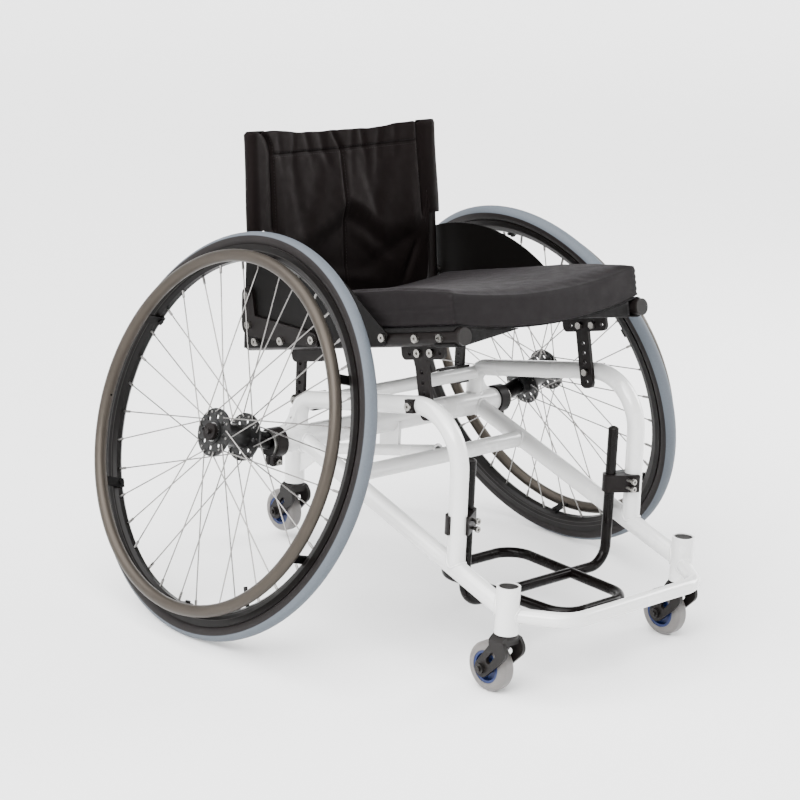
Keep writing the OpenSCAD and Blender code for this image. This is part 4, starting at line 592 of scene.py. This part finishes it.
# back upholstery, in the back's own frame: x across, d behind the post line, b up the posts, in metres
back = {
    "foot": (0.112, 0.446), "lean": math.radians(6.34), "postX": 0.183, "postTop": 0.2674,
    "arcR": 0.7609, "arcD": -0.7501, "thick": 0.0018, "across": 150, "up": 140,
    # the cloth goes round each post and laps behind the panel
    "wrapR": 0.0112, "wrapPast": 1.2, "wrapSteps": 16, "lapX": 0.158, "lapOff": 1.3, "lapSteps": 6,
    # the lower edge as (x, b), and the top edge, which sags in the middle and dips at the sleeve seams
    "lowEdge": (
        (0.0, -0.023), (0.135, -0.023), (0.155, -0.010), (0.1665, 0.018), (0.1695, 0.050), (0.171, 0.105),
        (0.1725, 0.121),
    ),
    "top": 0.2722, "topSag": 0.007, "sagFrom": 0.153, "sagWide": 0.09, "topDip": 0.005, "dipOut": 0.003,
    "dipWide": 0.006, "topRipple": (0.0012, 40, 5),
    # seams, with how far each fades out
    "hem": 0.234, "hemRise": 0.035, "hemFade": 0.006, "midSeam": 0.004, "midFade": 0.01, "seamWide": 0.0026,
    "seamDeep": 0.0030,
    # sleeves: seam as (b, x) on either side, and where they widen below and close above
    "sleeveLow": 0.121, "sleeveDeep": 0.0060, "sleeveRound": 0.009, "sleeveStarts": (0.112, 0.122),
    "sleeveSeam": {
        -1: ((0.10, 0.149), (0.238, 0.148), (0.250, 0.1505), (0.260, 0.156), (0.272, 0.167)),
        1: ((0.10, 0.163), (0.236, 0.156), (0.272, 0.1545)),
    },
    "flare": {-1: 0.0035, 1: 0.0062}, "flareEnds": (0.125, 0.250),
    "pinchX": (0.150, 0.165), "pinchD": -0.002, "pinchShare": 0.8,
    # slack cloth stands forward along this line and hangs back below it, as (x, b)
    "ridge": (
        (-0.160, 0.090), (-0.074, 0.109), (-0.029, 0.131), (0.0125, 0.160), (0.050, 0.140), (0.0835, 0.111),
        (0.118, 0.113), (0.160, 0.130),
    ),
    "ridgeOut": 0.0095, "ridgeUnder": 0.042, "ridgeEvenShare": 0.45, "ridgeWide": 0.075,
    # pleats: where across, lean per metre up, half width, depth, reach below the hem
    "pleats": (
        (-0.128, -0.10, 0.006, 0.0016, 0.050), (-0.098, 0.05, 0.006, 0.0020, 0.060),
        (-0.062, -0.25, 0.007, 0.0024, 0.035), (-0.030, -0.30, 0.008, 0.0030, 0.050),
        (0.004, -0.55, 0.005, 0.0036, 0.020), (0.026, 0.10, 0.007, 0.0022, 0.070),
        (0.052, -0.20, 0.006, 0.0026, 0.045), (0.080, 0.15, 0.007, 0.0024, 0.085),
        (0.112, 0.05, 0.006, 0.0014, 0.040),
    ),
    "pleatRise": 0.012,
    # long soft folds: from (x, b), to (x, b), half width, depth
    "folds": (
        (-0.105, 0.225, -0.088, 0.120, 0.012, 0.0024), (-0.040, 0.222, -0.085, 0.105, 0.014, 0.0026),
        (0.045, 0.228, 0.070, 0.130, 0.011, 0.0026), (0.095, 0.228, 0.060, 0.118, 0.013, 0.0026),
        (0.150, 0.076, 0.124, 0.020, 0.006, 0.0042), (-0.140, 0.070, -0.050, 0.055, 0.012, 0.0026),
        (0.140, 0.085, 0.040, 0.040, 0.012, 0.0022), (0.030, 0.100, 0.110, 0.030, 0.012, -0.0022),
        (-0.060, 0.040, 0.070, 0.020, 0.011, -0.0026),
    ),
    "foldStarts": (-0.25, 0.2), "foldEnds": (0.7, 1.35), "drapeFade": 0.022,
    # small wrinkles: height, waves per metre across and up, layer of the noise
    "wrinkles": ((0.0012, 22, 14, 3.1), (0.0005, 70, 60, 9.7)),
    # stitches: length, width, height and gap, how far from the seam, and where each row runs, in millimetres
    "stitch": (0.0031, 0.0009, 0.00055), "stitchGap": 0.0012, "stitchOff": 0.0034, "stitchProbe": 0.0005,
    "stitchRows": {"hem": (-143, 152), "middle": (-15, 230), "sleeve": (124, 262)},
}


def backToPart(x, d, b):
    s, c = math.sin(back["lean"]), math.cos(back["lean"])
    return Vector((x, back["foot"][0] + b * s + d * c + axleY, back["foot"][1] + b * c - d * s))


def backSheetD(x):
    return back["arcD"] + math.sqrt(back["arcR"] ** 2 - x * x)


def sleeveSeamX(x, b):
    return valueAt(back["sleeveSeam"][1 if x > 0 else -1], b)


def hemB(x):
    return back["hem"] + back["hemRise"] * max(0.0, x)


# how far the cloth's folds, ridge and seams carry it behind the plain stretched sheet
def backDrape(x, b):
    hem = hemB(x)
    drape = 0.0
    for at, slant, wide, deep, reach in back["pleats"]:
        off = x - at - slant * (b - hem)
        drape += deep * bell(off, wide) * smoothStep(hem - reach, hem + back["pleatRise"], b)
    for xa, ba, xb, bb, wide, deep in back["folds"]:
        way = Vector((xb - xa, bb - ba))
        run = Vector((x - xa, b - ba))
        share = run.dot(way) / way.length_squared
        ends = smoothStep(*back["foldStarts"], share) * (1 - smoothStep(*back["foldEnds"], share))
        drape += deep * bell(way.cross(run) / way.length, wide) * ends
    crest = valueAt(back["ridge"], x)
    if b > crest:
        over = 1 - (b - crest) / (hem - crest)
    else:
        over = 1 - smoothStep(0.0, back["ridgeUnder"], crest - b)
    even = back["ridgeEvenShare"]
    drape -= back["ridgeOut"] * max(0.0, over) * (even + (1 - even) * bell(x, back["ridgeWide"]))
    for high, perX, perB, layer in back["wrinkles"]:
        drape += ripple(high, x * perX, b * perB, layer)
    inside = smoothStep(0.0, back["drapeFade"], sleeveSeamX(x, b) - abs(x))
    return drape * inside + backSeams(x, b)


def backSeams(x, b):
    wide = back["seamWide"]
    aboveHem = b - hemB(x)
    outside = abs(x) - sleeveSeamX(x, b)
    middle = bell(x - back["midSeam"], wide) * (1 - smoothStep(0.0, back["midFade"], aboveHem))
    hem = bell(aboveHem, wide) * smoothStep(0.0, back["hemFade"], -outside)
    side = bell(outside, back["sleeveRound"] if outside > 0 else wide) * smoothStep(*back["sleeveStarts"], b)
    return back["seamDeep"] * max(middle, hem) + back["sleeveDeep"] * side


# one strip of cloth seen from above: round the near post, across the front, round the far post
def backStrip():
    theta = math.atan2(back["postX"], -back["arcD"])
    cells = back["across"] // 2
    flatTo = back["postX"] - back["wrapR"] * math.sin(theta)
    half = []
    for i in range(cells + 1):
        x = flatTo * i / cells
        half.append((x, backSheetD(x), "panel"))
    sweep = math.pi + theta * back["wrapPast"]
    for i in range(1, back["wrapSteps"] + 1):
        t = math.pi / 2 + theta - sweep * i / back["wrapSteps"]
        half.append((back["postX"] + back["wrapR"] * math.cos(t), -back["wrapR"] * math.sin(t), "wrap"))
    lapD = backSheetD(back["lapX"]) + back["sleeveDeep"] + back["thick"] * back["lapOff"]
    for i in range(1, back["lapSteps"] + 1):
        s = i / back["lapSteps"]
        x = back["postX"] + (back["lapX"] - back["postX"]) * s
        half.append((x, back["wrapR"] * (1 - s) + lapD * s, "lap"))
    return [(-x, d, kind) for x, d, kind in reversed(half[1:])] + half


def backTop(x):
    beside = abs(x) - sleeveSeamX(x, back["top"]) - back["dipOut"]
    sag = back["topSag"] * smoothStep(0.0, back["sagWide"], back["sagFrom"] - abs(x))
    dip = back["topDip"] * bell(beside, back["dipWide"])
    high, perX, layer = back["topRipple"]
    return back["top"] - sag - dip + ripple(high, x * perX, 0, layer)


def makeBack():
    strip = backStrip()
    run = [0.0]
    for a, b in zip(strip, strip[1:]):
        run.append(run[-1] + math.hypot(b[0] - a[0], b[1] - a[1]))
    bm = bmesh.new()
    flat = {}
    for v, column, share in gridOver(bm, strip, back["up"]):
        x, d, kind = strip[column]
        onPanel = kind == "panel"
        low = valueAt(back["lowEdge"], abs(x)) if onPanel else back["sleeveLow"]
        top = backTop(x) if onPanel else back["top"]
        b = low + (top - low) * share
        pinch = smoothStep(back["postTop"], back["top"], b) * smoothStep(*back["pinchX"], abs(x))
        if onPanel:
            d += backDrape(x, b)
        elif abs(x) > back["postX"]:  # the sleeve hangs wider than the post towards its lower end
            out = (abs(x) - back["postX"]) / back["wrapR"] * (1 - smoothStep(*back["flareEnds"], b))
            x += math.copysign(out * back["flare"][1 if x > 0 else -1], x)
        d += (back["pinchD"] - d) * back["pinchShare"] * pinch
        v.co = backToPart(x, d, b)
        flat[v] = (run[column], b)
    cloth = bm.loops.layers.uv.new("cloth")
    for face in bm.faces:
        for loop in face.loops:
            loop[cloth].uv = flat[loop.vert]
    bmesh.ops.recalc_face_normals(bm, faces=bm.faces)
    back["area"] = sum(f.calc_area() for f in bm.faces)
    piece = newPiece("back_cloth", meshFrom(bm, "back_cloth"), backNylon, "frame")
    thicken(piece, back["thick"])
    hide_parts("back_upholstery")
    return piece


def onBack(x, b):
    return backToPart(x, backSheetD(x) + backDrape(x, b) - back["thick"] / 2, b)


# sewing on the back: a stitch is a small flattened bead of thread along its seam
def makeBackStitches():
    off, probe = back["stitchOff"], back["stitchProbe"]
    hem, middle, sleeve = (
        [mm / 1000 for mm in range(*back["stitchRows"][seam])] for seam in ("hem", "middle", "sleeve")
    )
    rows = [[(x, hemB(x) + side * off) for x in hem] for side in (-1, 1)]
    rows.append([(back["midSeam"] + off, b) for b in middle])
    for side in (-1, 1):
        rows.append([(side * (valueAt(back["sleeveSeam"][side], b) - off), b) for b in sleeve])
    long, wide, high = back["stitch"]
    size = Matrix.Diagonal((long / 2, wide / 2, high / 2, 1))
    bm = bmesh.new()
    for row in rows:
        points = [onBack(x, b) for x, b in row]
        run = 0.0
        for i in range(1, len(points) - 1):
            run += (points[i] - points[i - 1]).length
            if run < long + back["stitchGap"]:
                continue
            run = 0.0
            x, b = row[i]
            way = (points[i + 1] - points[i - 1]).normalized()
            out = (onBack(x, b + probe) - points[i]).cross(onBack(x + probe, b) - points[i]).normalized()
            turn = Matrix((way, out.cross(way), out)).transposed().to_4x4()
            place = Matrix.Translation(points[i]) @ turn @ size
            bmesh.ops.create_icosphere(bm, subdivisions=1, radius=1, matrix=place)
    return newPiece("back_stitches", meshFrom(bm, "back_stitches"), threadLook, "frame")


backCloth = makeBack()
backStitches = makeBackStitches()
print("back upholstery hung")

# seat sling, in the seat's own frame: x across, y along the rails, z above the rail line
seat = {
    "height": 0.4183, "dump": math.radians(12.35), "railX": 0.185, "wrapR": 0.01435, "sag": 0.017,
    "from": -0.342, "to": 0.122, "wrap": math.radians(40), "thick": 0.0022,
    "across": 60, "along": 70, "wrapSteps": 12,
    # hems press in a little, at these shares of the length
    "hemShares": (0.055, 0.945), "hemWideShare": 0.006, "hemDeep": 0.0005,
}


def seatToPart(x, y, z):
    s, c = math.sin(seat["dump"]), math.cos(seat["dump"])
    return Vector((x, y * c + z * s + axleY, seat["height"] - y * s + z * c))


# the hung sheet is an arc: its half angle, its radius less an offset, and the height of its centre
def slingArc(offset):
    theta = 2 * math.atan(seat["sag"] / seat["railX"])
    return theta, seat["railX"] / math.sin(theta) - offset, seat["railX"] / math.tan(theta)


def slingStrip():
    theta, radius, centre = slingArc(seat["wrapR"])
    cells = seat["across"] // 2
    half = []
    for i in range(cells + 1):
        t = theta * i / cells
        half.append((radius * math.sin(t), centre - radius * math.cos(t)))
    start = math.pi / 2 + theta
    for i in range(1, seat["wrapSteps"] + 1):
        t = start - (start - seat["wrap"]) * i / seat["wrapSteps"]
        half.append((seat["railX"] + seat["wrapR"] * math.cos(t), seat["wrapR"] * math.sin(t)))
    return [(-x, z) for x, z in reversed(half[1:])] + half


def makeSling():
    strip = slingStrip()
    bm = bmesh.new()
    for v, column, share in gridOver(bm, strip, seat["along"]):
        x, z = strip[column]
        y = seat["from"] + (seat["to"] - seat["from"]) * share
        hem = seat["hemDeep"] * sum(bell(share - at, seat["hemWideShare"]) for at in seat["hemShares"])
        v.co = seatToPart(x, y, z - hem)
    bmesh.ops.recalc_face_normals(bm, faces=bm.faces)
    piece = newPiece("seat_cloth", meshFrom(bm, "seat_cloth"), slingNylon, "frame")
    thicken(piece, seat["thick"])
    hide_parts("seat_sling")
    return piece


flap = {
    "from": -0.341, "to": -0.297, "wrapR": 0.0142, "outer": math.radians(-40), "seamX": 0.070,
    "thick": 0.0016, "wrapSteps": 12, "flatSteps": 20, "rows": 10, "gussetRows": 4, "mergeWithin": 0.00005,
}


# each end of the sling's front hem goes round under the rail, is sewn up to the sling's underside and is
# closed at the front by a three-cornered gusset
def makeFlaps():
    theta, radius, centre = slingArc(seat["wrapR"] - seat["thick"])
    seam = Vector((flap["seamX"], centre - math.sqrt(radius ** 2 - flap["seamX"] ** 2)))
    toSeam = seam - Vector((seat["railX"], 0))
    leave = math.atan2(toSeam.y, toSeam.x) + math.acos(flap["wrapR"] / toSeam.length)
    strip = []
    for i in range(flap["wrapSteps"] + 1):
        t = flap["outer"] + (leave - flap["outer"]) * i / flap["wrapSteps"]
        strip.append(Vector((seat["railX"] + flap["wrapR"] * math.cos(t), flap["wrapR"] * math.sin(t))))
    level = [strip[-1].lerp(seam, i / flap["flatSteps"]) for i in range(1, flap["flatSteps"] + 1)]
    strip += level
    inner = [p for p in level if p.x < seat["railX"] - flap["wrapR"] - flap["thick"]]
    bm = bmesh.new()
    for side in (-1, 1):
        for v, column, share in gridOver(bm, strip, flap["rows"]):
            p = strip[column]
            v.co = seatToPart(side * p.x, flap["from"] + (flap["to"] - flap["from"]) * share, p.y)
        for v, column, share in gridOver(bm, inner, flap["gussetRows"]):
            p = inner[column]
            top = centre - math.sqrt((radius - flap["thick"] / 2) ** 2 - p.x ** 2)
            v.co = seatToPart(side * p.x, flap["from"], p.y + (top - p.y) * share)
    bmesh.ops.remove_doubles(bm, verts=bm.verts, dist=flap["mergeWithin"])
    bmesh.ops.recalc_face_normals(bm, faces=bm.faces)
    piece = newPiece("seat_hem_flaps", meshFrom(bm, "seat_hem_flaps"), slingNylon, "frame")
    thicken(piece, flap["thick"])
    return piece


slingCloth = makeSling()
slingFlaps = makeFlaps()
print("seat sling hung")

# cushion, in the seat's own frame: a foam block in a fitted cover, swelled by a short cloth simulation
cushion = {
    "half": 0.193, "from": -0.342, "to": 0.082, "thick": 0.054, "frontThick": 0.046, "taper": 0.150,
    "crown": 0.009, "crownPower": 3, "bow": 0.008, "rest": 0.0004, "slingTop": 0.0156,
    "cells": (72, 80, 10), "drawIn": 0.0014,
    "cover": {
        "quality": 4, "mass": 0.3, "tension_stiffness": 12, "compression_stiffness": 12,
        "bending_stiffness": 2, "use_pressure": True, "uniform_pressure_force": 3.5,
    },
    # how far the cover may swell on the top, the sides and the underside, told apart by how they face
    "frames": 18, "capTop": 0.0030, "capSide": 0.0014, "capUnder": 0.0003, "facing": 0.5, "fill": 0.75,
    # corner seams and the seam round the side band
    "seamDeep": 0.0015, "seamWide": 0.0024, "bandUp": 0.017, "bandShare": 0.6, "bandFacing": (0.5, 0.8),
    "bandFade": (0.004, 0.02),
    "puckerEvery": 0.0090, "puckerHigh": 0.0008, "puckerReach": 0.012, "puckerTurn": 1.3, "topFacing": 0.6,
    # slack ripples behind and dents all over: height, waves per metre, layer of the noise
    "slackFrom": (-0.06, 0.05), "slackAcross": (-0.19, -0.05), "slackX": -0.02,
    "slack": (0.0009, 16, 26, 95, 2.0), "dents": (0.0007, 14, 7.0),
}


# a box of even cells, bent to the cushion's outline
def cushionBlock():
    bm = bmesh.new()
    bmesh.ops.create_cube(bm, size=1)
    for axis, cells in enumerate(cushion["cells"]):
        lengthwise = [e for e in bm.edges if abs((e.verts[0].co - e.verts[1].co)[axis]) > 0.5]
        bmesh.ops.subdivide_edges(bm, edges=lengthwise, cuts=cells - 1, use_grid_fill=True)
    half, deep = cushion["half"], (cushion["to"] - cushion["from"]) / 2
    theta, radius, centre = slingArc(cushion["slingTop"])
    power = cushion["crownPower"]
    for v in bm.verts:
        u, w, up = v.co.x * 2, v.co.y * 2, v.co.z + 0.5
        x, y = u * half, w * deep
        s = min(1.0, (y + deep) / cushion["taper"])
        high = cushion["frontThick"] + (cushion["thick"] - cushion["frontThick"]) * s * (2 - s)
        high += cushion["crown"] * (1 - abs(u) ** power) * (1 - abs(w) ** power)
        bow = cushion["bow"] * (1 - u * u) * min(0.0, w)
        low = centre - math.sqrt(radius ** 2 - x * x) + cushion["rest"]
        v.co = seatToPart(x, (cushion["from"] + cushion["to"]) / 2 + y + bow, low + high * up)
    bmesh.ops.recalc_face_normals(bm, faces=bm.faces)
    bm.normal_update()
    for v in bm.verts:
        if v.normal.z > -cushion["facing"]:
            v.co -= v.normal * cushion["drawIn"]
    return meshFrom(bm, "cushion_cover")


def swell(piece, setup):
    start = [v.co.copy() for v in piece.data.vertices]
    facing = [v.normal.copy() for v in piece.data.vertices]
    cloth = piece.modifiers.new("cover", "CLOTH")
    for name, value in setup["cover"].items():
        setattr(cloth.settings, name, value)
    cloth.settings.effector_weights.gravity = 0
    cloth.point_cache.frame_start = 1
    cloth.point_cache.frame_end = setup["frames"]
    scene = bpy.context.scene
    for number in range(1, setup["frames"] + 1):
        scene.frame_set(number)
    moved = [v.co.copy() for v in evaluatedMesh(piece).vertices]
    piece.modifiers.remove(cloth)
    scene.frame_set(1)
    for v, a, b, n in zip(piece.data.vertices, start, moved, facing):
        cap = setup["capSide"]
        if abs(n.z) > setup["facing"]:
            cap = setup["capTop"] if n.z > 0 else setup["capUnder"]
        step = b - a
        if step.length > cap:
            step *= cap / step.length
        v.co = a + step


# corner seams with puckers, a seam round the side band and slack ripples behind, after the simulation
def sewCushion(bm):
    bm.normal_update()
    s, c = math.sin(seat["dump"]), math.cos(seat["dump"])
    bandAt = cushion["bandUp"] + cushion["frontThick"] / 2
    slackHigh, perX, slantPerY, perY, slackLayer = cushion["slack"]
    dentHigh, dentPer, dentLayer = cushion["dents"]
    moves = []
    for v in bm.verts:
        x, y, z = v.co.x, v.co.y - axleY, v.co.z - seat["height"]
        alongRail, above = y * c - z * s, y * s + z * c
        corner = math.hypot(abs(x) - cushion["half"], alongRail - cushion["from"])
        onSide = smoothStep(*cushion["bandFacing"], abs(v.normal.x))
        band = cushion["bandShare"] * bell(above - bandAt, cushion["seamWide"]) * onSide
        band *= smoothStep(*cushion["bandFade"], corner)
        move = -cushion["seamDeep"] * (bell(corner, cushion["seamWide"]) + band)
        turn = cushion["puckerTurn"] if abs(v.normal.x) > cushion["facing"] else 0.0
        wave = math.sin(2 * math.pi * above / cushion["puckerEvery"] + turn)
        if abs(v.normal.z) < cushion["topFacing"]:
            move += cushion["puckerHigh"] * wave * math.exp(-corner / cushion["puckerReach"])
        if v.normal.z > cushion["topFacing"]:
            slack = smoothStep(*cushion["slackFrom"], alongRail)
            slack *= smoothStep(*cushion["slackAcross"], -abs(x - cushion["slackX"]))
            slant = x * perX + alongRail * slantPerY
            move += slack * ripple(slackHigh, slant, alongRail * perY, slackLayer)
            move += ripple(dentHigh, x * dentPer, alongRail * dentPer, dentLayer)
        moves.append(v.normal * move)
    for v, move in zip(bm.verts, moves):
        v.co += move


def makeCushion():
    piece = newPiece("cushion_cover", cushionBlock(), cushionKnit, "frame")
    swell(piece, cushion)
    finer = piece.modifiers.new("finer cells", "SUBSURF")
    finer.levels = finer.render_levels = 1
    fine = evaluatedMesh(piece)
    piece.modifiers.remove(finer)
    bm = bmesh.new()
    bm.from_mesh(fine)
    sewCushion(bm)
    bm.to_mesh(piece.data)
    bm.free()
    shadeSmooth(piece.data)
    bpy.data.meshes.remove(fine)
    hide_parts("seat_cushion")


makeCushion()
print("cushion made")

# stage: a pale floor that sweeps up all round, soft boxes and an even sky
floorSweep = {
    "flat": 9.0, "bend": 7.0, "arc": math.radians(78), "arcSteps": 14, "round": 72, "mergeWithin": 0.0001,
}
floorLook, tree, shader, place = newMaterial("paleFloor", "#f9f9f9", 0.6)
grain(tree, shader, place, 400, ("#f8f8f8", "#fbfbfb"))


def makeFloor():
    bm = bmesh.new()
    profile = [bm.verts.new((0, 0, 0))]
    for i in range(floorSweep["arcSteps"] + 1):
        t = floorSweep["arc"] * i / floorSweep["arcSteps"]
        out = floorSweep["flat"] + floorSweep["bend"] * math.sin(t)
        profile.append(bm.verts.new((out, 0, floorSweep["bend"] * (1 - math.cos(t)))))
    edges = [bm.edges.new(pair) for pair in zip(profile, profile[1:])]
    bmesh.ops.spin(
        bm, geom=profile + edges, cent=(0, 0, 0), axis=(0, 0, 1), angle=2 * math.pi,
        steps=floorSweep["round"], use_merge=True,
    )
    bmesh.ops.remove_doubles(bm, verts=bm.verts, dist=floorSweep["mergeWithin"])
    bmesh.ops.recalc_face_normals(bm, faces=bm.faces)
    if sum(face.normal.z for face in bm.faces) < 0:
        bmesh.ops.reverse_faces(bm, faces=bm.faces)
    mesh = meshFrom(bm, "floor")
    shadeSmooth(mesh)
    mesh.materials.append(floorLook)
    floor = bpy.data.objects.new("floor", mesh)
    bpy.context.scene.collection.objects.link(floor)


makeFloor()

studio = {
    "sky": ("#ffffff", 0.42),
    "wideLight": {"from": (-1.3, 0.05, 2.2), "strength": 9.4, "angle": math.radians(80)},
    "boxes": (
        # name, place, aimed at, width, height, watts
        ("keyBox", (-3.0, -1.3, 2.6), (0.0, 0.0, 0.4), 2.2, 1.6, 115),
        ("farBox", (3.0, -0.8, 1.9), (0.0, 0.0, 0.4), 1.4, 1.8, 110),
    ),
}
world = bpy.data.worlds.new("studio")
world.use_nodes = True
world.node_tree.nodes["Background"].inputs["Color"].default_value = linear(studio["sky"][0])
world.node_tree.nodes["Background"].inputs["Strength"].default_value = studio["sky"][1]
bpy.context.scene.world = world


def hangLamp(name, data, spot, target):
    lamp = bpy.data.objects.new(name, data)
    lamp.location = spot
    lamp.rotation_mode = "QUATERNION"
    lamp.rotation_quaternion = (Vector(target) - Vector(spot)).to_track_quat("-Z", "Y")
    bpy.context.scene.collection.objects.link(lamp)


data = bpy.data.lights.new("wideLight", "SUN")
data.energy, data.angle = studio["wideLight"]["strength"], studio["wideLight"]["angle"]
hangLamp("wideLight", data, studio["wideLight"]["from"], (0, 0, 0))
for name, spot, target, wide, high, watts in studio["boxes"]:
    data = bpy.data.lights.new(name, "AREA")
    data.shape = "RECTANGLE"
    data.size, data.size_y, data.energy = wide, high, watts
    hangLamp(name, data, spot, target)
print("stage lit")
